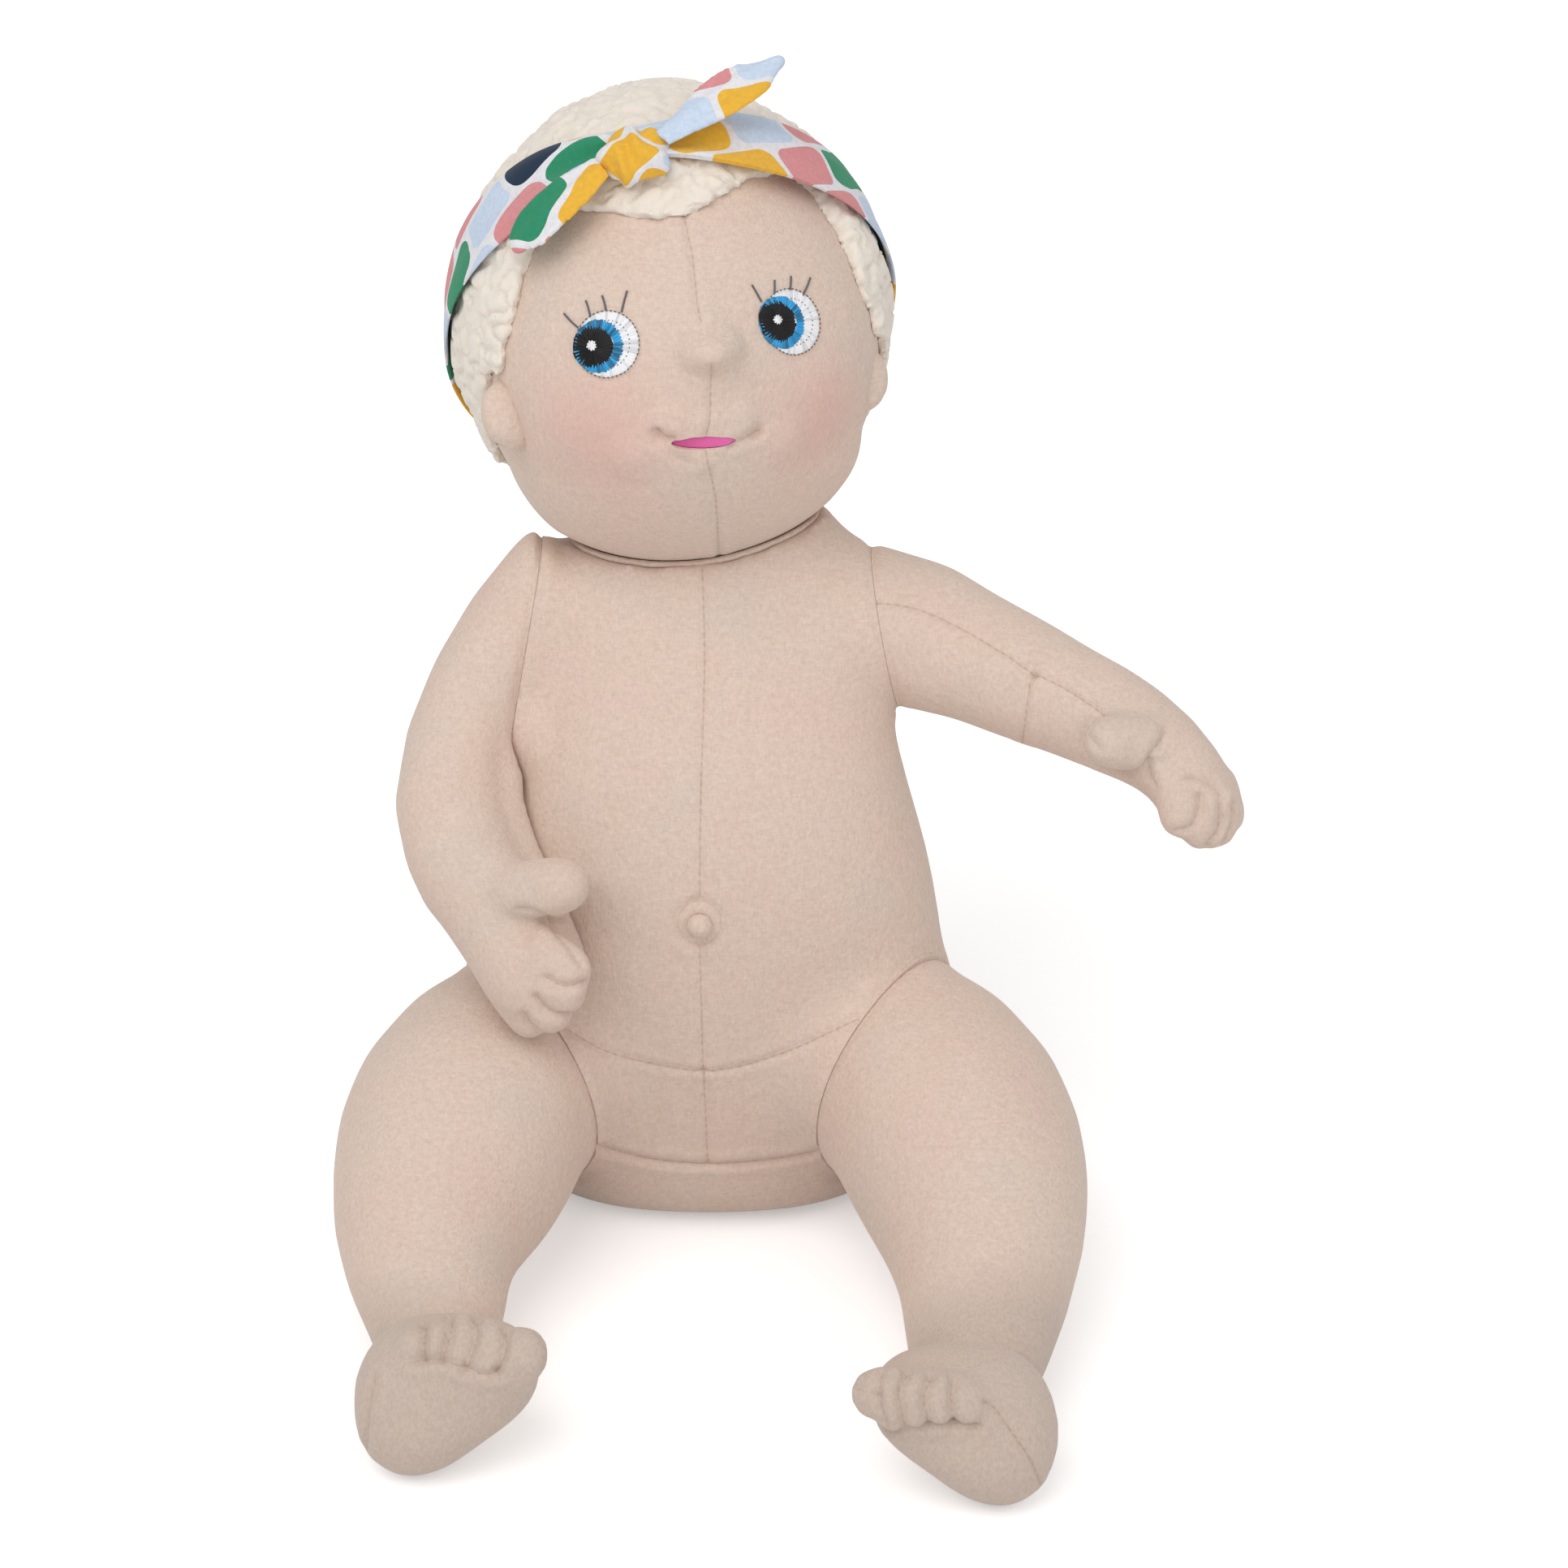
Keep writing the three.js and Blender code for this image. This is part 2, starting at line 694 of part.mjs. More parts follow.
// The headband's strip, wide enough at every level to slide up off the head
function bandForm() {
  const up = new THREE.Vector3(0, Math.sin(bandTilt), Math.cos(bandTilt));
  const front = new THREE.Vector3(0, -Math.cos(bandTilt), Math.sin(bandTilt));
  const knotDirection = directionAt(knotAzimuth, knotElevation);
  const knotAngle = Math.atan2(knotDirection.dot(sideAxis), knotDirection.dot(front));
  const sections = Array.from({ length: bandColumns }, (_, column) => {
    const angle = (column / bandColumns) * Math.PI * 2;
    const outward = front.clone().multiplyScalar(Math.cos(angle))
      .addScaledVector(sideAxis, Math.sin(angle));
    const turn = Math.atan2(Math.sin(angle - knotAngle), Math.cos(angle - knotAngle));
    const pinch = 1 - bandPinchShare * Math.exp(-((turn / bandPinchSpread) ** 2));
    const inside = [];
    const outside = [];
    let widest = 0;
    for (let level = bandLevels; level >= 0; level -= 1) {
      const height = bandHeight + (2 * level / bandLevels - 1) * bandHalfWidth * pinch;
      let reach = headHeight;
      for (let pass = 0; pass < bandPasses; pass += 1) {
        const direction = outward.clone().multiplyScalar(reach).addScaledVector(up, height).normalize();
        reach = Math.sqrt(dressedRadius(direction) ** 2 - height ** 2);
      }
      widest = Math.max(widest, reach);
      const inner = up.clone().multiplyScalar(height).addScaledVector(outward, widest + bandFit);
      inside.push(inner);
      outside.unshift(inner.clone().addScaledVector(outward, bandThickness));
    }
    return [...inside, ...outside];
  });
  return looped(sections);
}

// The surface that the knot and the tails lie on: the outside of the band all round the head
function overBand(rise) {
  return (direction) => headRadius(direction) + gap + hairThickness + bandFit + bandThickness + rise;
}

function knotForm() {
  const outward = directionAt(knotAzimuth, knotElevation);
  const across = new THREE.Vector3().crossVectors(upAxis, outward).normalize();
  const along = new THREE.Vector3().crossVectors(outward, across);
  const knot = new THREE.SphereGeometry(1, knotColumns, knotRows);
  knot.applyMatrix4(new THREE.Matrix4().makeBasis(
    across.clone().multiplyScalar(knotHalfWidth),
    along.clone().multiplyScalar(knotHalfHeight),
    outward.clone().multiplyScalar(knotHalfDepth),
  ));
  const place = outward.clone().multiplyScalar(overBand(knotLift)(outward));
  knot.translate(place.x, place.y, place.z);
  return solidOf(knot);
}

function tailForm(route) {
  const stops = route.map(({ azimuth, elevation, riseShare, widthShare }) => {
    const direction = directionAt(azimuth, elevation);
    return {
      point: direction.clone().multiplyScalar(overBand(riseShare * tailRise)(direction)),
      halfWidth: tailHalfWidth * widthShare,
      halfDepth: tailThickness / 2,
    };
  });
  const middle = route[Math.floor(route.length / 2)];
  const outward = directionAt(middle.azimuth, middle.elevation);
  return solidOf(stuffedTube(stops, tailSides, tailRows, outward, 0));
}

// A foot: a stuffed pillow on the sole's outline, with a row of five stuffed toes
function footForm(centre, side) {
  const across = sideAxis.clone().multiplyScalar(side);
  const inward = backAxis.clone().applyAxisAngle(sideAxis, footTilt);
  const along = upAxis.clone().applyAxisAngle(sideAxis, footTilt);
  const around = soleShares.concat(soleShares, soleShares);
  const pillow = new THREE.SphereGeometry(1, footColumns, footRows);
  const places = pillow.attributes.position;
  const point = new THREE.Vector3();
  for (let i = 0; i < places.count; i += 1) {
    point.fromBufferAttribute(places, i);
    const angle = Math.atan2(point.z, point.x);
    const turn = (angle / (Math.PI * 2) + 1) % 1;
    const place = (1 + turn) * soleShares.length / (around.length - 1);
    const fullness = Math.hypot(point.x, point.z) ** footFullnessShare;
    const reach = smoothAt(around, place) * footRadius * fullness;
    const world = centre.clone()
      .addScaledVector(across, Math.cos(angle) * reach)
      .addScaledVector(along, Math.sin(angle) * reach)
      .addScaledVector(inward, point.y * footThickness / 2);
    places.setXYZ(i, world.x, world.y, world.z);
  }
  const welded = mergeVertices(pillow, weldDistance);
  const points = [];
  for (let i = 0; i < welded.attributes.position.count; i += 1) {
    points.push(new THREE.Vector3().fromBufferAttribute(welded.attributes.position, i));
  }
  let foot = solidOf(closedGeometry(points, Array.from(welded.index.array)));
  for (let toe = 0; toe < toeCount; toe += 1) {
    const radius = bigToeRadius * toeShrinkShare ** toe;
    const form = new THREE.SphereGeometry(radius, toeColumns, toeRows);
    form.scale(1, 1, toeLengthShare);
    form.rotateX(footTilt);
    const place = centre.clone()
      .addScaledVector(across, toeRowStart + toe * toePitch)
      .addScaledVector(along, toeRowHeight)
      .addScaledVector(inward, -footThickness / 2 + bigToeRadius - toeRise / 2);
    form.translate(place.x, place.y, place.z);
    foot = foot.add(solidOf(form));
  }
  return foot;
}

// The space under the floor, which flattens whatever rests on it
function underFloor() {
  const block = new THREE.BoxGeometry(floorWidth, floorWidth, floorDepth);
  block.translate(0, 0, -floorDepth / 2);
  return solidOf(block);
}

const doll = new THREE.Group();

// Body, arms and legs
const limbs = [];
for (const [name, side] of [['right', -1], ['left', 1]]) {
  limbs.push({
    name: `${name}_arm`,
    centre: new THREE.Vector3(side * shoulderHalfSpan, shoulderForward, shoulderHeight),
    normal: new THREE.Vector3(side * Math.cos(shoulderSlope), 0, Math.sin(shoulderSlope)),
    root: side < 0 ? rightArmRoot : leftArmRoot,
    rootShare: side < 0 ? rightRootShare : leftRootShare,
    length: armLength,
    radius: armRadius,
    seamShare: armSeamShare,
    sides: armSides,
    rows: armRows,
    reference: viewerAxis,
    shares: side < 0 ? rightArmShares : leftArmShares,
    fingers: side < 0 ? rightFingerShares : leftFingerShares,
  });
  const hipNormal = new THREE.Vector3(
    side * hipNormalShares[0],
    hipNormalShares[1],
    hipNormalShares[2],
  ).normalize();
  limbs.push({
    name: `${name}_leg`,
    centre: new THREE.Vector3(side * hipHalfSpan, hipForward, hipHeight),
    normal: hipNormal,
    root: hipNormal,
    rootShare: 1,
    length: legLength,
    radius: legRadius,
    seamShare: legSeamShare,
    sides: legSides,
    rows: legRows,
    reference: upAxis,
    shares: side < 0 ? rightLegShares : leftLegShares,
    fingers: [],
  });
}

const floorBlock = underFloor();
let torso = torsoForm(0);
for (const limb of limbs) {
  const { centre, normal, radius } = limb;
  const reach = radius * limb.seamShare;
  const inwards = normal.clone().negate();
  const stops = limbStops(limb);
  const form = solidOf(stuffedTube(stops, limb.sides, limb.rows, limb.reference, 0));
  limb.grown = solidOf(stuffedTube(stops, limb.sides, limb.rows, limb.reference, gap));
  torso = torso.subtract(plugFrom(centre, normal, reach, radius, -gap / 2));
  torso = torso.add(form.intersect(plugFrom(centre, inwards, reach, radius * 2, gap / 2)));
  let outer = form.subtract(plugFrom(centre, inwards, reach, radius * 2, -gap / 2));
  for (const finger of limb.fingers) {
    outer = outer.add(fingerForm(centre, finger));
  }
  addPiece(doll, limb.name, geometryOf(outer.subtract(floorBlock)), felt);
}

const neckOuter = headHeight + neckFit + neckThickness;
const headHollow = new THREE.SphereGeometry(neckOuter + neckClearance, hollowColumns, hollowRows);
headHollow.translate(headCentre.x, headCentre.y, headCentre.z);
torso = torso.subtract(solidOf(headHollow)).subtract(floorBlock);
addPiece(doll, 'torso', geometryOf(torso), felt);

const navelNub = new THREE.SphereGeometry(navelRadius, navelColumns, navelRows);
navelNub.translate(navelOffset, -torsoHalfDepth, navelHeight);
addPiece(doll, 'navel', geometryOf(solidOf(navelNub).subtract(torsoForm(gap))), felt);

// Feet
for (const [name, side, footShares] of [['right', -1, rightFootShares], ['left', 1, leftFootShares]]) {
  const hip = new THREE.Vector3(side * hipHalfSpan, hipForward, hipHeight);
  const centre = new THREE.Vector3(...footShares).multiplyScalar(legLength).add(hip);
  const leg = limbs.find((limb) => limb.name === `${name}_leg`);
  const foot = footForm(centre, side).subtract(leg.grown).subtract(floorBlock);
  addPiece(doll, `${name}_foot`, geometryOf(foot), felt);
}

// Neck
const neck = new THREE.Group();
neck.position.copy(headCentre);
neck.quaternion.setFromUnitVectors(backAxis, neckAxis);
doll.add(neck);
addPiece(neck, 'neck_roll', geometryOf(neckForm()), felt);

// Head and what is sewn on it
const head = new THREE.Group();
head.position.copy(headCentre);
head.rotation.copy(headTurn);
doll.add(head);

const skull = starForm(headRadius, headColumns, headRows);
const skullGrown = starForm((direction) => headRadius(direction) + gap, headColumns, headRows);
addPiece(head, 'head', geometryOf(skull.subtract(mouthForm(0))), felt);

const lining = mouthForm(gap).subtract(mouthForm(gap + mouthWall)).intersect(skull);
addPiece(head, 'mouth_lining', geometryOf(lining), pinkCloth);

addPiece(head, 'hair_cap', geometryOf(hairForm(0).subtract(skullGrown)), fleece);

for (const [name, side] of [['right', -1], ['left', 1]]) {
  const ear = earForm(side).subtract(skullGrown).subtract(hairForm(gap));
  addPiece(head, `${name}_ear`, geometryOf(ear), felt);
}

const stitchLow = gap;
const stitchHigh = gap + eyeStitch;
const cutHigh = stitchHigh + eyeStitch;
const stitched = (place, radius) => discForm(place, radius, stitchLow, stitchHigh, 2);
const cutAway = (place, radius) => discForm(place, radius + gap, -eyeStitch, cutHigh, 1);
for (const [name, eye] of Object.entries(eyes)) {
  const white = stitched(eye.white, eyeWhiteRadius).subtract(cutAway(eye.iris, irisRadius));
  const iris = stitched(eye.iris, irisRadius).subtract(cutAway(eye.pupil, pupilRadius));
  const pupil = stitched(eye.pupil, pupilRadius).subtract(cutAway(eye.glint, glintRadius));
  addPiece(head, `${name}_eye_white`, geometryOf(white), whiteThread);
  addPiece(head, `${name}_iris`, geometryOf(iris), blueThread);
  addPiece(head, `${name}_pupil`, geometryOf(pupil), blackThread);
  addPiece(head, `${name}_glint`, geometryOf(stitched(eye.glint, glintRadius)), whiteThread);
}

// Headband
const overBandSolid = starForm(overBand(gap), headColumns, headRows);
const knot = knotForm();
addPiece(head, 'headband_loop', geometryOf(solidOf(bandForm())), printedCotton);
addPiece(head, 'headband_knot', geometryOf(knot.subtract(overBandSolid)), printedCotton);
addPiece(head, 'headband_left_tail', geometryOf(tailForm(leftTail).subtract(knot)), printedCotton);
addPiece(head, 'headband_right_tail', geometryOf(tailForm(rightTail).subtract(knot)), printedCotton);

export default doll;
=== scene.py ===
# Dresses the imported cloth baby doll: felt body, fleece hair, stitched eyes and a printed headband.
# Metres, Z up. The doll faces -Y, and its left side is +X.
import json
import math

import bmesh
import bpy
import numpy as np
from mathutils import Matrix, Vector
from mathutils.bvhtree import BVHTree


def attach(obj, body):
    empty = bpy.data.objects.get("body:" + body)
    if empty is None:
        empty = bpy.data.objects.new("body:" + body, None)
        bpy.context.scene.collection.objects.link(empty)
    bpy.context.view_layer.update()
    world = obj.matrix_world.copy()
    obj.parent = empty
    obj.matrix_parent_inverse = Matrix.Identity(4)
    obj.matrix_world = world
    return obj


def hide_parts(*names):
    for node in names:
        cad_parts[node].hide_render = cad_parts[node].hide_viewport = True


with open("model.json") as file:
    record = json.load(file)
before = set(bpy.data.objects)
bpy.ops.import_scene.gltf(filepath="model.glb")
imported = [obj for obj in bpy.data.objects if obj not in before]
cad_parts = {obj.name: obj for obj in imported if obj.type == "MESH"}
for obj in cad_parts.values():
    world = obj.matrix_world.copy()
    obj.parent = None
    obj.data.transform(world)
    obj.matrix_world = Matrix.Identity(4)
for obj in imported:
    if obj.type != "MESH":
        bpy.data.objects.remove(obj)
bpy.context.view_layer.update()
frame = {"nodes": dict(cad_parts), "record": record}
nodes = frame["nodes"]
joints = {joint["name"]: joint for joint in frame["record"]["behaviour"]["joints"]}
scene = bpy.context.scene
RANDOM_SEED = 7
random = np.random.default_rng(RANDOM_SEED)
MM = 0.001

# Camera, at the photograph's viewing angle
PHOTO_SIZE = 1932
FOCAL_PIXELS = 6110
SENSOR = 36
CAMERA_TARGET = Vector((0.0204, -0.01, 0.126))
CAMERA_DISTANCE = 1.3
CAMERA_ELEVATION = math.radians(30)
toward_camera = Vector((0, -math.cos(CAMERA_ELEVATION), math.sin(CAMERA_ELEVATION)))
image_up = Vector((0, math.sin(CAMERA_ELEVATION), math.cos(CAMERA_ELEVATION)))
image_right = Vector((1, 0, 0))
camera_place = CAMERA_TARGET + toward_camera * CAMERA_DISTANCE
camera = bpy.data.objects.new("camera", bpy.data.cameras.new("camera"))
camera.location = camera_place
camera.rotation_euler = (math.pi / 2 - CAMERA_ELEVATION, 0, 0)
camera.data.sensor_width = SENSOR
camera.data.lens = FOCAL_PIXELS / PHOTO_SIZE * SENSOR
scene.collection.objects.link(camera)
scene.camera = camera

# The head's own frame, where the face looks along -Y
HEAD_CENTRE = Vector(joints["neck_turn"]["pos_m"])
HEAD_TURN = (-30, -6, 9)
head_frame = Matrix.Identity(3)
for angle, axis in zip(HEAD_TURN, "XYZ"):
    head_frame = head_frame @ Matrix.Rotation(math.radians(angle), 3, axis)


def head_direction(azimuth, elevation):
    """World direction from the head's centre."""
    a, e = math.radians(azimuth), math.radians(elevation)
    return head_frame @ Vector((math.cos(e) * math.sin(a), -math.cos(e) * math.cos(a), math.sin(e)))


# Meshes

WELD = 0.001 * MM
TINY = 1e-12
BALL_SUBDIVISIONS = 3
PLUG_SIDES = 64
# How far one pass of smoothing moves a value towards its neighbours' mean
SPREAD_SHARE = 0.5
SHARP_ANGLE = math.radians(50)
WAVES = 24
# How close together the waves are, as shares of what their size asks for
WAVE_SHARES = (0.6, 1.4)


def new_object(name, mesh):
    piece = bpy.data.objects.new(name, mesh)
    scene.collection.objects.link(piece)
    return piece


def mesh_from(name, points, faces):
    mesh = bpy.data.meshes.new(name)
    mesh.from_pydata([tuple(p) for p in points], [], [tuple(f) for f in faces])
    mesh.update()
    return mesh


def object_from(name, shape):
    """One new object from a mesh in work."""
    mesh = bpy.data.meshes.new(name)
    shape.to_mesh(mesh)
    shape.free()
    return new_object(name, mesh)


def closed_object(name, points, faces):
    """One new object with its faces turned outwards."""
    mesh = mesh_from(name, points, faces)
    shape = bmesh.new()
    shape.from_mesh(mesh)
    bmesh.ops.recalc_face_normals(shape, faces=shape.faces)
    shape.to_mesh(mesh)
    shape.free()
    return new_object(name, mesh)


def tube_faces(rings, sides, first=0):
    """Faces of a tube of rings of points, closed at both ends."""
    faces = []
    for row in range(rings - 1):
        low, high = first + row * sides, first + (row + 1) * sides
        for k in range(sides):
            after = (k + 1) % sides
            faces.append((low + k, low + after, high + after, high + k))
    last = first + (rings - 1) * sides
    faces.append(tuple(first + k for k in reversed(range(sides))))
    faces.append(tuple(last + k for k in range(sides)))
    return faces


def places(mesh):
    out = np.empty(len(mesh.vertices) * 3)
    mesh.vertices.foreach_get("co", out)
    return out.reshape(-1, 3)


def set_places(mesh, points):
    mesh.vertices.foreach_set("co", np.ascontiguousarray(points).ravel())
    mesh.update()


def normals(mesh):
    out = np.empty(len(mesh.vertices) * 3, dtype=np.float32)
    mesh.vertex_normals.foreach_get("vector", out)
    return out.reshape(-1, 3).astype(float)


def set_attribute(mesh, name, values):
    attribute = mesh.attributes.get(name) or mesh.attributes.new(name, "FLOAT", "POINT")
    attribute.data.foreach_set("value", np.ascontiguousarray(values, dtype=np.float32))


def baked(piece, kind, **settings):
    """Applies one modifier to a piece and keeps its result."""
    modifier = piece.modifiers.new(kind, kind)
    for key, value in settings.items():
        setattr(modifier, key, value)
    graph = bpy.context.evaluated_depsgraph_get()
    mesh = bpy.data.meshes.new_from_object(piece.evaluated_get(graph))
    piece.modifiers.remove(modifier)
    old = piece.data
    piece.data = mesh
    bpy.data.meshes.remove(old)


def copy_of(name, *sources):
    """One new object with the meshes of several objects in it, each closed."""
    shape = bmesh.new()
    for source in sources:
        shape.from_mesh(source.data)
    bmesh.ops.remove_doubles(shape, verts=shape.verts, dist=WELD)
    return object_from(name, shape)


def hull_of(name, source, grow):
    """The convex hull of an object, grown about its middle."""
    shape = bmesh.new()
    shape.from_mesh(source.data)
    hull = bmesh.ops.convex_hull(shape, input=shape.verts)
    bmesh.ops.delete(shape, geom=list(set(hull["geom_interior"] + hull["geom_unused"])), context="VERTS")
    middle = sum((v.co for v in shape.verts), Vector()) / len(shape.verts)
    for v in shape.verts:
        v.co = middle + (v.co - middle) * grow
    return object_from(name, shape)


def ball(centre, radius):
    shape = bmesh.new()
    place = Matrix.Translation(centre)
    bmesh.ops.create_icosphere(shape, subdivisions=BALL_SUBDIVISIONS, radius=radius, matrix=place)
    return object_from("ball", shape)


def plug(centre, normal, radius, depth, offset):
    """A cylinder whose near face lies in a plane, standing along the plane's normal."""
    turn = normal.to_track_quat("Z", "Y").to_matrix().to_4x4()
    place = Matrix.Translation(centre + normal * (offset + depth / 2)) @ turn
    shape = bmesh.new()
    bmesh.ops.create_cone(
        shape, cap_ends=True, segments=PLUG_SIDES, radius1=radius, radius2=radius, depth=depth, matrix=place
    )
    return object_from("plug", shape)


def drop(*objects):
    for item in objects:
        mesh = item.data
        bpy.data.objects.remove(item)
        bpy.data.meshes.remove(mesh)


def cut(piece, tool, operation="DIFFERENCE"):
    """Cuts a tool out of a piece, or intersects them, and drops the tool."""
    baked(piece, "BOOLEAN", operation=operation, object=tool, solver="MANIFOLD")
    drop(tool)


def edge_ends(mesh):
    out = np.empty(len(mesh.edges) * 2, dtype=np.int64)
    mesh.edges.foreach_get("vertices", out)
    return out.reshape(-1, 2).T


def spread(values, ends, passes, weight=None):
    """Averages values over a mesh's edges, pass by pass."""
    first, second = ends
    count = len(values)
    degree = np.maximum(np.bincount(first, minlength=count) + np.bincount(second, minlength=count), 1)
    pull = SPREAD_SHARE if weight is None else SPREAD_SHARE * weight[:, None]
    out = values.copy()
    for _ in range(passes):
        total = np.stack([
            np.bincount(first, out[second, k], count) + np.bincount(second, out[first, k], count)
            for k in range(out.shape[1])
        ], axis=1)
        out += pull * (total / degree[:, None] - out)
    return out


def soften(piece, passes, weight_at):
    """Smooths a piece and gives back the volume that plain smoothing takes."""
    start = places(piece.data)
    ends = edge_ends(piece.data)
    weight = None if weight_at is None else weight_at(start)
    once = spread(start, ends, passes, weight)
    set_places(piece.data, once + spread(start - once, ends, passes, weight))


def stuffed(name, sources, voxel, passes, weight_at=None, level=1):
    """A smooth closed skin round the given solids."""
    piece = copy_of(name, *sources)
    baked(piece, "REMESH", mode="VOXEL", voxel_size=voxel)
    soften(piece, passes, weight_at)
    if level:
        baked(piece, "SUBSURF", levels=level, render_levels=level)
    return piece


def waves(points, size, count=WAVES):
    """A smooth random height from -1 to 1, with bumps about a size across."""
    directions = random.normal(size=(count, 3))
    directions /= np.linalg.norm(directions, axis=1)[:, None]
    closeness = 2 * math.pi / size * random.uniform(*WAVE_SHARES, count)
    phases = random.uniform(0, 2 * math.pi, count)
    total = np.zeros(len(points))
    for direction, close, phase in zip(directions, closeness, phases):
        total += np.sin(points @ direction * close + phase)
    return total / math.sqrt(count / 2) / 2


def shade_smooth(mesh):
    mesh.polygons.foreach_set("use_smooth", [True] * len(mesh.polygons))
    mesh.set_sharp_from_angle(angle=SHARP_ANGLE)
    mesh.update()


# Lines on the cloth, drawn in the photograph's pixels

NEAREST_STEPS = 12
PIXEL_STEP = 1.5
CREASE_REACH = 9 * MM
LINE_PIECE = 24
LINE_FADE = 1.1 * MM
SEAM_DEPTH = 0.6 * MM
SEAM_WIDTH = 0.85 * MM
SEAM_PUFF = 0.16 * MM
SEAM_DARK = 0.42
CREASE_DEPTH = 1.1 * MM
CREASE_WIDTH = 1.1 * MM
CREASE_PUFF = 0.35 * MM
# How dark a crease's line is: its thread, and the shade painted in the crease
CREASE_LINE_AND_SHADE = 0.3
# Where the cloth puffs up beside a crease, and how broadly, as shares of the crease's width
PUFF_PLACE_SHARE = 2.6
PUFF_WIDTH_SHARE = 1.6
RIM_DEPTH = 0.9 * MM
RIM_WIDTH = 1.6 * MM
RIM_DARK = 0.3
# How far out a seam's hollow keeps its depth, as a share of the seam's radius
RIM_SPREAD_SHARE = 1.18


def tree_of(mesh):
    return BVHTree.FromPolygons([v.co for v in mesh.vertices], [p.vertices for p in mesh.polygons])


def pixel_ray(x, y):
    """Direction from the camera through a pixel of the photograph."""
    half = PHOTO_SIZE / 2
    ray = -toward_camera * FOCAL_PIXELS + image_right * (x - half) - image_up * (y - half)
    return ray.normalized()


def pixel_size(place):
    """Size of one of the photograph's pixels at a place."""
    return (place - camera_place).length / FOCAL_PIXELS


def seen_point(tree, pixel):
    """The point of a surface that a pixel of the photograph shows, or the nearest one to that pixel."""
    ray = pixel_ray(*pixel)
    hit = tree.ray_cast(camera_place, ray)[0]
    if hit is None:
        hit = tree.find_nearest(camera_place)[0]
        for _ in range(NEAREST_STEPS):
            hit = tree.find_nearest(camera_place + ray * (hit - camera_place).dot(ray))[0]
    return hit


def smooth_line(points, step):
    """Points along a smooth curve through the given ones, about a step apart."""
    points = [np.array(p, dtype=float) for p in points]
    out = []
    for i in range(len(points) - 1):
        before = points[max(i - 1, 0)]
        start, end = points[i], points[i + 1]
        after = points[min(i + 2, len(points) - 1)]
        leave, arrive = (end - before) / 2, (after - start) / 2
        cubic = 2 * start - 2 * end + leave + arrive
        count = max(int(np.linalg.norm(end - start) / step), 1)
        for k in range(count):
            t = k / count
            out.append((cubic * t - 3 * start + 3 * end - 2 * leave - arrive) * t * t + leave * t + start)
    out.append(points[-1])
    return out


def seen_line(tree, pixels):
    """Points on a surface under a curve that is drawn in the photograph's pixels."""
    hits = [tree.ray_cast(camera_place, pixel_ray(*pixel))[0] for pixel in smooth_line(pixels, PIXEL_STEP)]
    return [hit for hit in hits if hit is not None]


def nearest(points, facing, line):
    """How far each point is from a line, on which side, and how far along it, within a crease's reach."""
    line = np.array(line)
    ahead = np.gradient(line, axis=0)
    along = np.concatenate([[0], np.cumsum(np.linalg.norm(np.diff(line, axis=0), axis=1))])
    distance = np.full(len(points), CREASE_REACH)
    side = np.ones(len(points))
    reached = np.zeros(len(points))
    for start in range(0, len(line), LINE_PIECE):
        piece = line[start:start + LINE_PIECE]
        near = np.all((points > piece.min(0) - CREASE_REACH) & (points < piece.max(0) + CREASE_REACH), axis=1)
        near = np.flatnonzero(near)
        offset = points[near][:, None] - piece[None]
        away = np.linalg.norm(offset, axis=2)
        best = away.argmin(axis=1)
        rows = np.arange(len(near))
        closer = away[rows, best] < distance[near]
        rows, best, near = rows[closer], best[closer], near[closer]
        distance[near] = away[rows, best]
        across = np.cross(ahead[start + best], facing[near])
        across /= np.linalg.norm(across, axis=1)[:, None] + TINY
        side[near] = np.sum(across * offset[rows, best], axis=1)
        reached[near] = along[start + best]
    return distance, side, reached


def hollow(distance, width):
    return np.exp(-(distance / width) ** 2)


def seam(line):
    return (line, SEAM_DEPTH, SEAM_WIDTH, SEAM_PUFF, SEAM_DARK)


def crease(line, share=1.0):
    return (line, CREASE_DEPTH * share, CREASE_WIDTH, CREASE_PUFF * share, CREASE_LINE_AND_SHADE * share)


def carve(piece, creases, limbs=()):
    """Sinks creases into a piece, with the cloth puffed beside them, and notes where thread and painted shade
    run.

    A crease is (points, depth, width, puff, dark), the sizes in metres, and dark is how dark its painted line
    is.
    The piece is also hollowed along the given limbs' seams.
    """
    mesh = piece.data
    points = places(mesh)
    facing = normals(mesh)
    sink = np.zeros(len(points))
    closest = np.full(len(points), CREASE_REACH)
    line = {
        "line_dark": np.zeros(len(points)),
        "line_side": np.full(len(points), CREASE_REACH),
        "line_along": np.zeros(len(points)),
    }

    def note(distance, side, reached, dark):
        nearer = distance < closest
        closest[nearer] = distance[nearer]
        line["line_side"][nearer] = side[nearer]
        line["line_dark"][nearer] = dark * hollow(distance[nearer], LINE_FADE)
        if reached is not None:
            line["line_along"][nearer] = reached[nearer]

    for along, depth, width, puff, dark in creases:
        if len(along) > 1:
            distance, side, reached = nearest(points, facing, along)
            beside = hollow(distance - PUFF_PLACE_SHARE * width, PUFF_WIDTH_SHARE * width)
            sink += depth * hollow(distance, width) - puff * beside
            note(distance, side, reached, dark)
    for limb in limbs:
        distance, side = seam_ring(limb, points)
        sink += RIM_DEPTH * hollow(distance, RIM_WIDTH)
        note(distance, side, None, RIM_DARK)
    set_places(mesh, points - facing * sink[:, None])
    for name, values in line.items():
        set_attribute(mesh, name, values)


# Materials

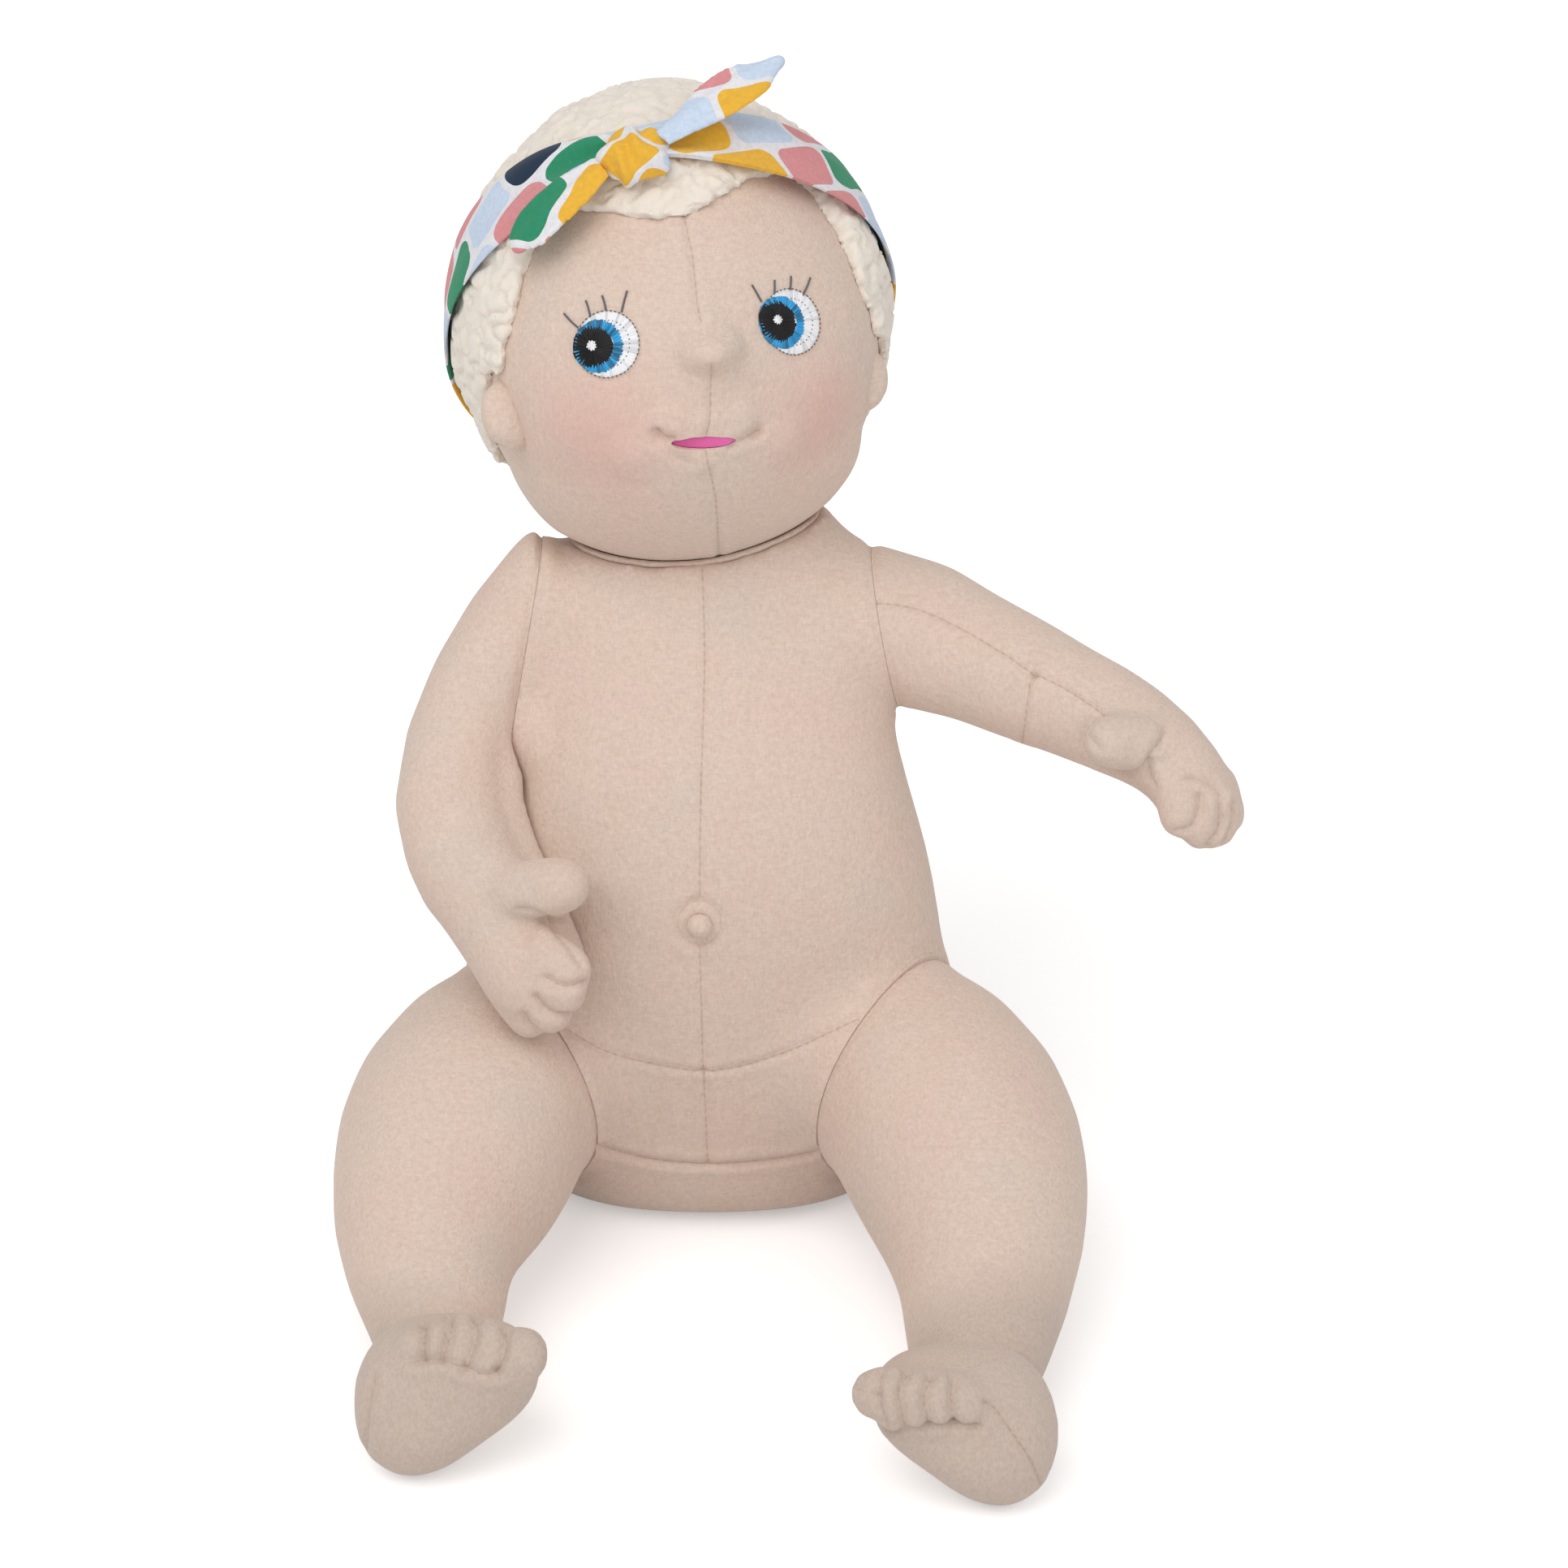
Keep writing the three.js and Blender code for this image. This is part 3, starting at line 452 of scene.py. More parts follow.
WHITE = (1, 1, 1)
EVEN = (1, 1, 1)
FELT = (0.752, 0.604, 0.51)
FELT_PINK = (0.752, 0.588, 0.504)
FELT_GREY = (0.732, 0.604, 0.52)
# Colour of the lines: the seams' thread, and the shade painted in the creases
THREAD_AND_CREASE_SHADE = (0.30, 0.19, 0.14)
# Darker felt of the hands and feet: partly worn felt, partly painted shade on these ends
WORN_AND_SHADED_FELT = (0.565, 0.46, 0.395)
WORN_AND_SHADED_FELT_DARK = (0.49, 0.395, 0.337)
BLUSH = (0.72, 0.36, 0.32)
BLOTCH_SIZE = 26 * MM
BLOTCH_TONES = [(0.32, FELT_GREY), (0.5, FELT), (0.68, FELT_PINK)]
FLECK_SHARE = 0.66
FLECK_TONES = [(0.32, (0.9, 0.88, 0.87)), (0.62, WHITE)]
# Fibres of the felt: their thickness, and how much finer the fleck is along each axis
FELT_FIBRES = [(1.3 * MM, EVEN), (1.0 * MM, (2.5, 1, 0.5)), (1.0 * MM, (0.5, 1, 2.5))]
# Nap of the limbs' ends, in tones of worn felt and painted shade
NAP_SIZE = 0.8 * MM
NAP_STRETCH = (1, 1, 0.6)
NAP_TONES = [(0.36, WORN_AND_SHADED_FELT_DARK), (0.62, WORN_AND_SHADED_FELT)]
FINE_DETAIL = 3.0
# Stitches: their length, how much each dip takes, and the line's edges as shares of its half width
STITCH_LENGTH = 2.4 * MM
STITCH_DIP = 0.3
LINE_HALF_WIDTH = 0.28 * MM
LINE_EDGE_SHARES = (0.3, 1.6)
FLEECE = (0.82, 0.745, 0.655)
# Painted shade low in the fleece's pile, between the curls
FLEECE_SHADED = (0.75, 0.67, 0.57)
# Roughness, sheen and gloss of each cloth
FELT_LOOK = {"Roughness": 0.95, "Sheen Weight": 0.25, "Sheen Roughness": 0.5, "Sheen Tint": (1, 0.95, 0.9),
             "Specular IOR Level": 0.15}
FLEECE_LOOK = {"Roughness": 1.0, "Sheen Weight": 0.35, "Sheen Roughness": 0.6, "Specular IOR Level": 0.1}
PRINT_LOOK = {"Roughness": 0.85, "Sheen Weight": 0.1, "Specular IOR Level": 0.2}
# Bumps of each cloth: size of the noise, its detail and stretch, height and strength
FELT_BUMPS = [(3.2 * MM, 2.0, EVEN, 0.5 * MM, 0.55), (0.7 * MM, 3.0, (1, 1, 0.45), 0.3 * MM, 0.7)]
FLEECE_BUMPS = [(2.2 * MM, 3.0, EVEN, 0.5 * MM, 0.6), (0.6 * MM, 2.0, EVEN, 0.2 * MM, 0.6)]
THREAD_BUMPS = [(0.25 * MM, 2.0, EVEN, 0.1 * MM, 0.6)]
PRINT_BUMPS = [(4 * MM, 2.0, EVEN, 0.4 * MM, 0.5), (0.45 * MM, 2.0, EVEN, 0.12 * MM, 0.7)]
# Threads and the mouth's cloth: colour, roughness, how dark the darkest strands are as a share, and gloss
THREADS = {
    "white_thread": ((0.86, 0.86, 0.88), 0.55, 0.72, 0.4),
    "blue_thread": ((0.025, 0.34, 0.68), 0.4, 0.3, 0.4),
    "black_thread": ((0.008, 0.007, 0.007), 0.45, 0.6, 0.2),
    "grey_thread": ((0.12, 0.11, 0.12), 0.6, 0.72, 0.4),
    "pink_cloth": ((0.76, 0.15, 0.4), 0.85, 0.8, 0.15),
}
STRAND_FULL = 0.6
PRINT_WHITE = (0.80, 0.79, 0.82)
PRINT_WORN_SIZE = 1.2 * MM
PRINT_WORN_TONES = [(0.3, (0.88, 0.88, 0.88)), (0.7, WHITE)]
YELLOW = (0.84, 0.47, 0.05)
PINK = (0.72, 0.29, 0.3)
NAVY = (0.014, 0.032, 0.062)
GREEN = (0.03, 0.27, 0.14)
PALE_BLUE = (0.6, 0.7, 0.85)
PRINT_COLOURS = [YELLOW, PINK, NAVY, PALE_BLUE, PINK, GREEN, YELLOW, PINK, NAVY, YELLOW, PALE_BLUE, GREEN]
PRINT_CHOICE = 5.0
PATCH_WIDTH = 20 * MM
PATCH_HEIGHT = 14.5 * MM
PATCH_TILT = math.radians(24)
PATCH_GAP = 0.9 * MM
PATCH_CORNER = 3.2 * MM
PATCH_WOBBLE = 5 * MM
PATCH_WOBBLES = 60.0
ROW_SHIFT = 0.38


def fill_inputs(tree, made, inputs):
    """Gives a node's inputs, by name or number, a socket to link, a number, a vector or a colour."""
    for key, value in inputs.items():
        socket = made.inputs[key]
        if isinstance(value, bpy.types.NodeSocket):
            tree.links.new(value, socket)
        else:
            socket.default_value = (*value, 1) if socket.type == "RGBA" else value


def node(tree, kind, inputs=None, **settings):
    made = tree.nodes.new(kind)
    for key, value in settings.items():
        setattr(made, key, value)
    fill_inputs(tree, made, inputs or {})
    return made


def noise_at(tree, size, detail=2.0, stretch=EVEN):
    place = node(tree, "ShaderNodeTexCoord").outputs["Object"]
    mapping = node(tree, "ShaderNodeMapping", {"Vector": place, "Scale": tuple(s / size for s in stretch)})
    settings = {"Vector": mapping.outputs["Vector"], "Scale": 1.0, "Detail": detail}
    return node(tree, "ShaderNodeTexNoise", settings).outputs["Fac"]


def ramp(tree, factor, stops, interpolation="LINEAR"):
    made = node(tree, "ShaderNodeValToRGB", {"Fac": factor})
    made.color_ramp.interpolation = interpolation
    elements = made.color_ramp.elements
    while len(elements) < len(stops):
        elements.new(0.5)
    for element, (position, colour) in zip(elements, stops):
        element.position = position
        element.color = (*colour, 1)
    return made.outputs["Color"]


def mixed(tree, factor, first, second, blend="MIX"):
    """Mixes two colours. Each is a socket or a colour, and the factor is a socket or a number."""
    values = {0: factor, 6: first, 7: second}
    return node(tree, "ShaderNodeMix", values, data_type="RGBA", blend_type=blend).outputs[2]


def attribute(tree, name, part="Fac"):
    return node(tree, "ShaderNodeAttribute", attribute_name=name).outputs[part]


def worked(tree, operation, *values):
    """One sum on sockets and numbers."""
    return node(tree, "ShaderNodeMath", dict(enumerate(values)), operation=operation).outputs[0]


def thread_line(tree):
    """How much sunk thread and painted crease shade show: a thin line along each seam, with a dip at every
    stitch.
    """
    start, end = (share * LINE_HALF_WIDTH for share in LINE_EDGE_SHARES)
    side = worked(tree, "ABSOLUTE", attribute(tree, "line_side"), 0)
    line = node(tree, "ShaderNodeMapRange", {
        "Value": side, "From Min": start, "From Max": end, "To Min": 1, "To Max": 0
    }, interpolation_type="SMOOTHSTEP")
    turn = worked(tree, "MULTIPLY", attribute(tree, "line_along"), 2 * math.pi / STITCH_LENGTH)
    stitch = worked(tree, "MULTIPLY_ADD", worked(tree, "SINE", turn, 0), STITCH_DIP, 1 - STITCH_DIP)
    shown = worked(tree, "MULTIPLY", line.outputs["Result"], stitch)
    return worked(tree, "MULTIPLY", shown, attribute(tree, "line_dark"))


def felt_colour(tree):
    """Blotches and flecks of tone, ends darkened by wear and painted shade, blush, and the lines of seams and
    creases.
    """
    colour = ramp(tree, noise_at(tree, BLOTCH_SIZE), BLOTCH_TONES)
    for size, stretch in FELT_FIBRES:
        flecks = ramp(tree, noise_at(tree, size, FINE_DETAIL, stretch), FLECK_TONES)
        colour = mixed(tree, FLECK_SHARE, colour, flecks, "MULTIPLY")
    # The limbs' ends turn darker: worn felt, and painted shade
    worn = ramp(tree, noise_at(tree, NAP_SIZE, FINE_DETAIL, NAP_STRETCH), NAP_TONES)
    colour = mixed(tree, attribute(tree, "worn"), colour, worn)
    colour = mixed(tree, attribute(tree, "blush"), colour, BLUSH)
    # Seams get a line of thread, creases a line of thread and painted shade
    return mixed(tree, thread_line(tree), colour, THREAD_AND_CREASE_SHADE)


def fleece_colour(tree):
    # The fleece darkens low in its pile: painted shade between the curls
    return mixed(tree, attribute(tree, "pile_shade"), FLEECE, FLEECE_SHADED)


def strand_colour(tree, colour, dark_share):
    """Single strands that differ in tone."""
    darker = tuple(c * dark_share for c in colour)
    return ramp(tree, attribute(tree, "tone"), [(0.0, darker), (STRAND_FULL, colour)])


def print_colour(tree):
    """Rows of soft-cornered patches in several colours on white cotton."""
    cloth = attribute(tree, "cloth", "Vector")
    wobble = node(tree, "ShaderNodeTexNoise", {"Vector": cloth, "Scale": PATCH_WOBBLES, "Detail": 1.0})
    shift = {0: wobble.outputs["Color"], 1: (PATCH_WOBBLE,) * 3, 2: cloth}
    shifted = node(tree, "ShaderNodeVectorMath", shift, operation="MULTIPLY_ADD").outputs["Vector"]
    grid = node(tree, "ShaderNodeMapping", {
        "Vector": shifted, "Rotation": (0, 0, PATCH_TILT), "Scale": (PATCH_WIDTH, PATCH_HEIGHT, 1)
    }, vector_type="TEXTURE")
    parts = node(tree, "ShaderNodeSeparateXYZ", {"Vector": grid.outputs["Vector"]})
    row = worked(tree, "FLOOR", parts.outputs["Y"])
    across = worked(tree, "MULTIPLY_ADD", row, ROW_SHIFT, parts.outputs["X"])
    patch_number = {"X": worked(tree, "FLOOR", across), "Y": row, "Z": PRINT_CHOICE}
    patch_place = node(tree, "ShaderNodeCombineXYZ", patch_number).outputs["Vector"]
    chance = node(tree, "ShaderNodeTexWhiteNoise", {"Vector": patch_place}).outputs["Value"]
    beyond = []
    for place, size in ((across, PATCH_WIDTH), (parts.outputs["Y"], PATCH_HEIGHT)):
        from_middle = worked(tree, "ABSOLUTE", worked(tree, "SUBTRACT", worked(tree, "FRACT", place), 0.5))
        flat_side = size / 2 - PATCH_GAP - PATCH_CORNER
        over = worked(tree, "MULTIPLY_ADD", from_middle, size, -flat_side)
        beyond.append(worked(tree, "POWER", worked(tree, "MAXIMUM", over, 0.0), 2.0))
    corner = worked(tree, "SQRT", worked(tree, "ADD", *beyond))
    gap = worked(tree, "GREATER_THAN", corner, PATCH_CORNER)
    stops = [(i / len(PRINT_COLOURS), colour) for i, colour in enumerate(PRINT_COLOURS)]
    colour = mixed(tree, gap, ramp(tree, chance, stops, "CONSTANT"), PRINT_WHITE)
    worn = ramp(tree, noise_at(tree, PRINT_WORN_SIZE, FINE_DETAIL), PRINT_WORN_TONES)
    return mixed(tree, 1.0, colour, worn, "MULTIPLY")


def material(name, colour, look, colour_of=None, bumps=()):
    """A material with a plain colour or one that its nodes work out, and bumps from layers of noise."""
    made = bpy.data.materials.new(name)
    made.use_nodes = True
    tree = made.node_tree
    shader = tree.nodes["Principled BSDF"]
    fill_inputs(tree, shader, {"Base Color": colour, **look})
    if colour_of is not None:
        fill_inputs(tree, shader, {"Base Color": colour_of(tree)})
    normal = {}
    for size, detail, stretch, height, strength in bumps:
        layer = {"Height": noise_at(tree, size, detail, stretch), "Distance": height, "Strength": strength}
        normal = {"Normal": node(tree, "ShaderNodeBump", {**layer, **normal}).outputs["Normal"]}
    fill_inputs(tree, shader, normal)
    return made


def thread_material(name, colour, roughness, dark_share, gloss):
    look = {"Roughness": roughness, "Specular IOR Level": gloss}
    return material(name, colour, look, lambda tree: strand_colour(tree, colour, dark_share), THREAD_BUMPS)


finishes = {
    "felt": material("felt", FELT, FELT_LOOK, felt_colour, FELT_BUMPS),
    "fleece": material("fleece", FLEECE, FLEECE_LOOK, fleece_colour, FLEECE_BUMPS),
    "printed_cotton": material("printed_cotton", PRINT_WHITE, PRINT_LOOK, print_colour, PRINT_BUMPS),
}
for name, thread in THREADS.items():
    finishes[name] = thread_material(name, *thread)


def finish_piece(piece, body, slot, replaced=(), look=None):
    """Gives a piece its slot's or look's material, smooth shading and body, and hides the solids it replaces.
    """
    piece.data.materials.clear()
    piece.data.materials.append(finishes[look or slot])
    if "tone" not in piece.data.attributes:
        set_attribute(piece.data, "tone", np.ones(len(piece.data.vertices)))
    shade_smooth(piece.data)
    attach(piece, body)
    if replaced:
        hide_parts(*replaced)


# Seams. Each limb's skin runs on through its seam, so that it meets the torso's there, and is cut at the
# seam's plane last of all.

SEAM_GAP = 0.08 * MM
LAP = 0.5 * MM
# Radius of a seam, reach of its rim, and how far from its centre the torso and the limb are trimmed
ARM_SEAM = {"radius": 21 * MM, "reach": 33.6 * MM, "torso_trim": 33.6 * MM, "trim": 29 * MM}
LEG_SEAM = {"radius": 31 * MM, "reach": 40.3 * MM, "torso_trim": 50 * MM, "trim": 64 * MM}
SIDES = ("right", "left")
LIMBS = {}
for kind, joint_name, sizes in (("arm", "shoulder_swing", ARM_SEAM), ("leg", "hip_swing", LEG_SEAM)):
    for side in SIDES:
        joint = joints[f"{side}_{joint_name}"]
        centre = Vector(joint["pos_m"])
        normal = Vector(joint["axis"]).normalized()
        normal = normal if normal.x * centre.x > 0 else -normal
        across = normal.orthogonal().normalized()
        LIMBS[f"{side}_{kind}"] = {
            **sizes, "centre": centre, "normal": normal, "across": across, "along": normal.cross(across)
        }
# A stub's ball: how far its middle is from the seam, and its radius, as shares of the seam's radius
STUB_SHARE = 0.4
STUB_RADIUS_SHARE = 1.3
CUT_DEPTH_SHARE = 2
LEG_RIM = 33.6 * MM
LEG_FLARE = 16 * MM
LEG_ROUNDING = 1.5 * MM
# Where the rounding's soft start is as good as straight
STRAIGHT = 20
RIM_SAMPLES = 90
MATCH_LIMITS = (0.88, 1.14)
MATCH_PASSES = 4
MATCH_REACH = 11 * MM
# Where the match of two rims fades away, as shares of the rim's reach
MATCH_START = 0.9
MATCH_END = 1.32


def stub(source, limb, side):
    """The part of a solid near a limb's seam, lapped a little over the seam from the given side."""
    piece = copy_of("stub", source)
    middle = limb["centre"] + limb["normal"] * (side * STUB_SHARE * limb["radius"])
    cut(piece, ball(middle, limb["radius"] * STUB_RADIUS_SHARE), "INTERSECT")
    piece.data.transform(Matrix.Translation(limb["normal"] * (-side * LAP)))
    return piece


def cut_at_seam(piece, limb, side, trim):
    """Removes what lies on one side of a seam's plane, near the seam."""
    depth = limb["radius"] * CUT_DEPTH_SHARE
    cut(piece, plug(limb["centre"], limb["normal"] * side, trim, depth, -SEAM_GAP / 2))


def from_seam(points, limb):
    """Points seen from a seam's centre: their offsets, heights over its plane, and offsets in the plane."""
    normal = np.array(limb["normal"])
    offset = points - np.array(limb["centre"])
    height = offset @ normal
    return offset, height, offset - height[:, None] * normal


def seam_ring(limb, points):
    """How far points are from a limb's seam, and on which side of it, within the seam's reach."""
    offset, side, flat = from_seam(points, limb)
    past_rim = np.maximum(np.linalg.norm(flat, axis=1) - RIM_SPREAD_SHARE * limb["radius"], 0)
    near = np.linalg.norm(offset, axis=1) < limb["reach"]
    distance = np.where(near, np.abs(side) + past_rim, CREASE_REACH)
    return distance, np.where(near, side, CREASE_REACH)


def turn_round(vectors, across, along):
    """How far round a circle each vector points, from 0 to 1."""
    return np.arctan2(vectors @ np.array(along), vectors @ np.array(across)) / (2 * math.pi) % 1


def smooth_round(values, passes):
    """Averages values that stand at even angles round a circle with their neighbours."""
    for _ in range(passes):
        values = (np.roll(values, 1, axis=0) + 2 * values + np.roll(values, -1, axis=0)) / 4
    return values


def round_rim(leg, limb):
    """Draws a leg in to a round rim at its seam, so that it can swing there."""
    points = places(leg.data)
    _, height, flat = from_seam(points, limb)
    out = np.linalg.norm(flat, axis=1) + TINY
    room = LEG_RIM + np.maximum(height, 0) ** 2 / LEG_FLARE
    over = (out - room) / LEG_ROUNDING
    drawn = out - LEG_ROUNDING * np.where(over > STRAIGHT, over, np.log1p(np.exp(np.minimum(over, STRAIGHT))))
    set_places(leg.data, points + flat * (drawn / out - 1)[:, None])


def rim_of(tree, limb):
    """Distance from a seam's centre out to a skin, in the seam's plane, at even angles."""
    out = []
    for k in range(RIM_SAMPLES):
        turn = 2 * math.pi * k / RIM_SAMPLES
        ray = limb["across"] * math.cos(turn) + limb["along"] * math.sin(turn)
        hit = tree.ray_cast(limb["centre"], ray)[0]
        out.append((hit - limb["centre"]).length if hit is not None else limb["reach"])
    return np.array(out)


def match_rim(piece, limb, other_tree):
    """Fits a limb's skin to its neighbour's where they meet in the seam's plane."""
    own = rim_of(tree_of(piece.data), limb)
    ratio = smooth_round(np.clip(rim_of(other_tree, limb) / own, *MATCH_LIMITS), MATCH_PASSES)
    points = places(piece.data)
    _, height, flat = from_seam(points, limb)
    turn = turn_round(flat, limb["across"], limb["along"])
    samples = np.arange(RIM_SAMPLES + 1) / RIM_SAMPLES
    change = np.interp(turn, samples, np.append(ratio, ratio[0])) - 1
    out = np.linalg.norm(flat, axis=1) / limb["reach"]
    near = np.clip((MATCH_END - out) / (MATCH_END - MATCH_START), 0, 1)
    near = near ** 2 * (3 - 2 * near)
    fade = np.exp(-(height / MATCH_REACH) ** 2) * near
    set_places(piece.data, points + flat * (change * fade)[:, None])


# Torso, with its neckline drawn in to the neck
TORSO_VOXEL = 2.0 * MM
TORSO_PASSES = 80
NAVEL_VOXEL = 0.5 * MM
NAVEL_PASSES = 3
# Radius of the hollow under the head, and where the smoothing takes hold beyond it
HOLLOW_RADIUS = 64.5 * MM
HOLLOW_EDGE = (1 * MM, 9 * MM)
HOLLOW_SOFTNESS = 0.15
NECK_OUTER = 61.9 * MM
COLLAR_FADE = 9 * MM
# Raised places: middle and radius in the photograph's pixels, and height
TORSO_FORMS = [((642, 908), 62, 4 * MM)]
# Lines, drawn in the photograph's pixels
NAVEL_PIXEL = (862, 1138)
NAVEL_RING = 27
NAVEL_RING_POINTS = 17
NAVEL_CREASE = 0.6
TORSO_SEAMS = [
    [(865, 700), (868, 800), (866, 900), (863, 1000), (862, 1108)],
    [(862, 1166), (864, 1240), (866, 1318)],
    [(867, 1322), (869, 1370), (872, 1434)],
    [(700, 1268), (760, 1300), (868, 1320), (960, 1300), (1055, 1255)],
]
LOW_CREASE = [(740, 1414), (800, 1430), (875, 1436), (950, 1431), (1010, 1420)]
# The seam down the back: number of points, a step apart, from a height over the floor
BACK_POINTS = 190
BACK_STEP = 1 * MM
BACK_FOOT = 4 * MM
BACK_OUTSIDE = 90 * MM
BACK_NEAREST = 20 * MM


def from_head(points):
    """Unit directions and distances of points from the head's centre."""
    offset = points - np.array(HEAD_CENTRE)
    distance = np.linalg.norm(offset, axis=1)
    return offset / distance[:, None], distance


def torso_weight(points):
    """Less smoothing at the hollow under the head."""
    edge = [HOLLOW_RADIUS + past for past in HOLLOW_EDGE]
    return np.interp(from_head(points)[1], edge, [HOLLOW_SOFTNESS, 1])


def close_collar(piece):
    """Draws the torso's neckline in towards the head, up to the thin roll of the neck."""
    points = places(piece.data)
    direction, distance = from_head(points)
    beyond = np.maximum(distance - HOLLOW_RADIUS, 0)
    draw = (HOLLOW_RADIUS - NECK_OUTER - SEAM_GAP) * np.exp(-(beyond / COLLAR_FADE) ** 2)
    set_places(piece.data, points - direction * draw[:, None])


def raise_forms(piece, forms):
    """Raises or sinks round places on a piece: middle, radius in the photograph's pixels, and height."""
    tree = tree_of(piece.data)
    points = places(piece.data)
    facing = normals(piece.data)
    rise = np.zeros(len(points))
    for pixel, radius, height in forms:
        middle = seen_point(tree, pixel)
        share = np.linalg.norm(points - np.array(middle), axis=1) / (radius * pixel_size(middle))
        rise += height * (1 - np.clip(share, 0, 1) ** 2) ** 2
    set_places(piece.data, points + facing * rise[:, None])


def rest_on_floor(piece):
    """Presses what hangs below the floor up onto it."""
    points = places(piece.data)
    points[:, 2] = np.maximum(points[:, 2], 0)
    set_places(piece.data, points)


def navel_crease(tree):
    x, y = NAVEL_PIXEL
    ring = []
    for k in range(NAVEL_RING_POINTS):
        turn = 2 * math.pi * k / (NAVEL_RING_POINTS - 1)
        ring.append((x + NAVEL_RING * math.cos(turn), y + NAVEL_RING * math.sin(turn)))
    return crease(seen_line(tree, ring), NAVEL_CREASE)


def back_seam(tree):
    points = []
    for k in range(BACK_POINTS):
        start = Vector((0, BACK_OUTSIDE, BACK_FOOT + k * BACK_STEP))
        hit = tree.ray_cast(start, Vector((0, -1, 0)))[0]
        if hit is not None and hit.y > BACK_NEAREST:
            points.append(hit)
    return seam(points)


stubs = [stub(nodes[name], limb, 1) for name, limb in LIMBS.items()]
torso = stuffed("torso_cloth", [nodes["torso"], *stubs], TORSO_VOXEL, TORSO_PASSES, torso_weight)
drop(*stubs)
rest_on_floor(torso)
close_collar(torso)
raise_forms(torso, TORSO_FORMS)
torso_tree = tree_of(torso.data)
torso_lines = [seam(seen_line(torso_tree, line)) for line in TORSO_SEAMS]
torso_lines += [crease(seen_line(torso_tree, LOW_CREASE)), navel_crease(torso_tree), back_seam(torso_tree)]
carve(torso, torso_lines, LIMBS.values())
for limb in LIMBS.values():
    cut_at_seam(torso, limb, 1, limb["torso_trim"])
finish_piece(torso, "torso_body", "felt", ["torso"])
cut_torso_tree = tree_of(torso.data)

navel = stuffed("navel_nub", [nodes["navel"]], NAVEL_VOXEL, NAVEL_PASSES)
finish_piece(navel, "torso_body", "felt", ["navel"])

# Arms, each with the lines of its hand: kind, share of full depth, and the photograph's pixels
ARM_VOXEL = 1.2 * MM
ARM_PASSES = 70
HAND_REACH = 80 * MM
HAND_BLEND = 16 * MM
HAND_SOFTNESS = 0.25
# How far the hands turn to worn felt and painted shade
HAND_WEAR_AND_SHADE = 0.2
LEAN_REACH = 17 * MM
LEAN_GAP = 0.35 * MM
LEAN_PASSES = (60, 15)
HAND_LINES = {
    "right_arm": [
        ("crease", 0.8, [(640, 1121), (657, 1122), (674, 1128), (692, 1131)]),
        ("crease", 0.6, [(677, 1130), (681, 1145), (695, 1159), (705, 1172), (717, 1191)]),
        ("crease", 0.9, [(674, 1206), (686, 1213), (703, 1216), (720, 1210)]),
        ("crease", 1.0, [(661, 1229), (672, 1243), (686, 1250), (705, 1249)]),
        ("crease", 0.8, [(646, 1250), (653, 1262), (665, 1270)]),
    ],
    "left_arm": [
        ("seam", 1.0, [(1080, 742), (1130, 750), (1180, 772), (1235, 804), (1254, 817), (1274, 832)]),
        ("seam", 1.0, [(1274, 832), (1283, 834), (1310, 847), (1338, 865), (1363, 883)]),
        ("seam", 1.0, [(1274, 832), (1269, 841), (1263, 881), (1259, 915)]),
        ("crease", 0.6, [(1363, 883), (1346, 889), (1338, 900), (1335, 915), (1339, 931), (1350, 944),
                         (1371, 950), (1392, 950), (1407, 945), (1416, 938)]),
        ("crease", 0.8, [(1437, 900), (1430, 915), (1420, 927), (1416, 938), (1417, 955), (1422, 967)]),
        ("crease", 0.5, [(1341, 906), (1346, 913), (1353, 921)]),
        ("crease", 0.9, [(1478, 982), (1479, 992), (1475, 1007), (1468, 1018), (1458, 1023), (1450, 1024)]),
        ("crease", 0.8, [(1466, 959), (1483, 962), (1496, 971), (1504, 980)]),
        ("crease", 1.0, [(1503, 994), (1504, 1007), (1502, 1022), (1494, 1034), (1487, 1041)]),
        ("crease", 1.0, [(1518, 992), (1519, 1007), (1515, 1024), (1508, 1037)]),
    ],
}


def lines_on(piece, table):
    """Seams and creases on a piece from a table of kinds, shares and pixels."""
    tree = tree_of(piece.data)
    lines = [(kind, share, seen_line(tree, pixels)) for kind, share, pixels in table]
    return [crease(line, share) if kind == "crease" else seam(line) for kind, share, line in lines]


def lean_on(piece, other_tree):
    """Swells a stuffed piece's side until it lies against its neighbour, where that is near."""
    points = places(piece.data)
    facing = normals(piece.data)
    rise = np.zeros((len(points), 1))
    room = np.full((len(points), 1), LEAN_REACH)
    for k, (place, outward) in enumerate(zip(points, facing)):
        hit, hit_facing, _, distance = other_tree.ray_cast(Vector(place), Vector(outward), LEAN_REACH)
        if hit is not None and hit_facing.dot(Vector(outward)) < 0:
            room[k] = max(distance - LEAN_GAP, 0)
            rise[k] = room[k] * (1 - (distance / LEAN_REACH) ** 2)
    ends = edge_ends(piece.data)
    for passes in LEAN_PASSES:
        rise = np.minimum(spread(rise, ends, passes), room)
    set_places(piece.data, points + facing * rise)


def weight_towards(limb, reach, blend, softness):
    """Full smoothing near a limb's seam, and less beyond a reach from it."""
    def weight(points):
        away = np.linalg.norm(points - np.array(limb["centre"]), axis=1)
        return np.interp(away, [reach - blend, reach], [1, softness])
    return weight


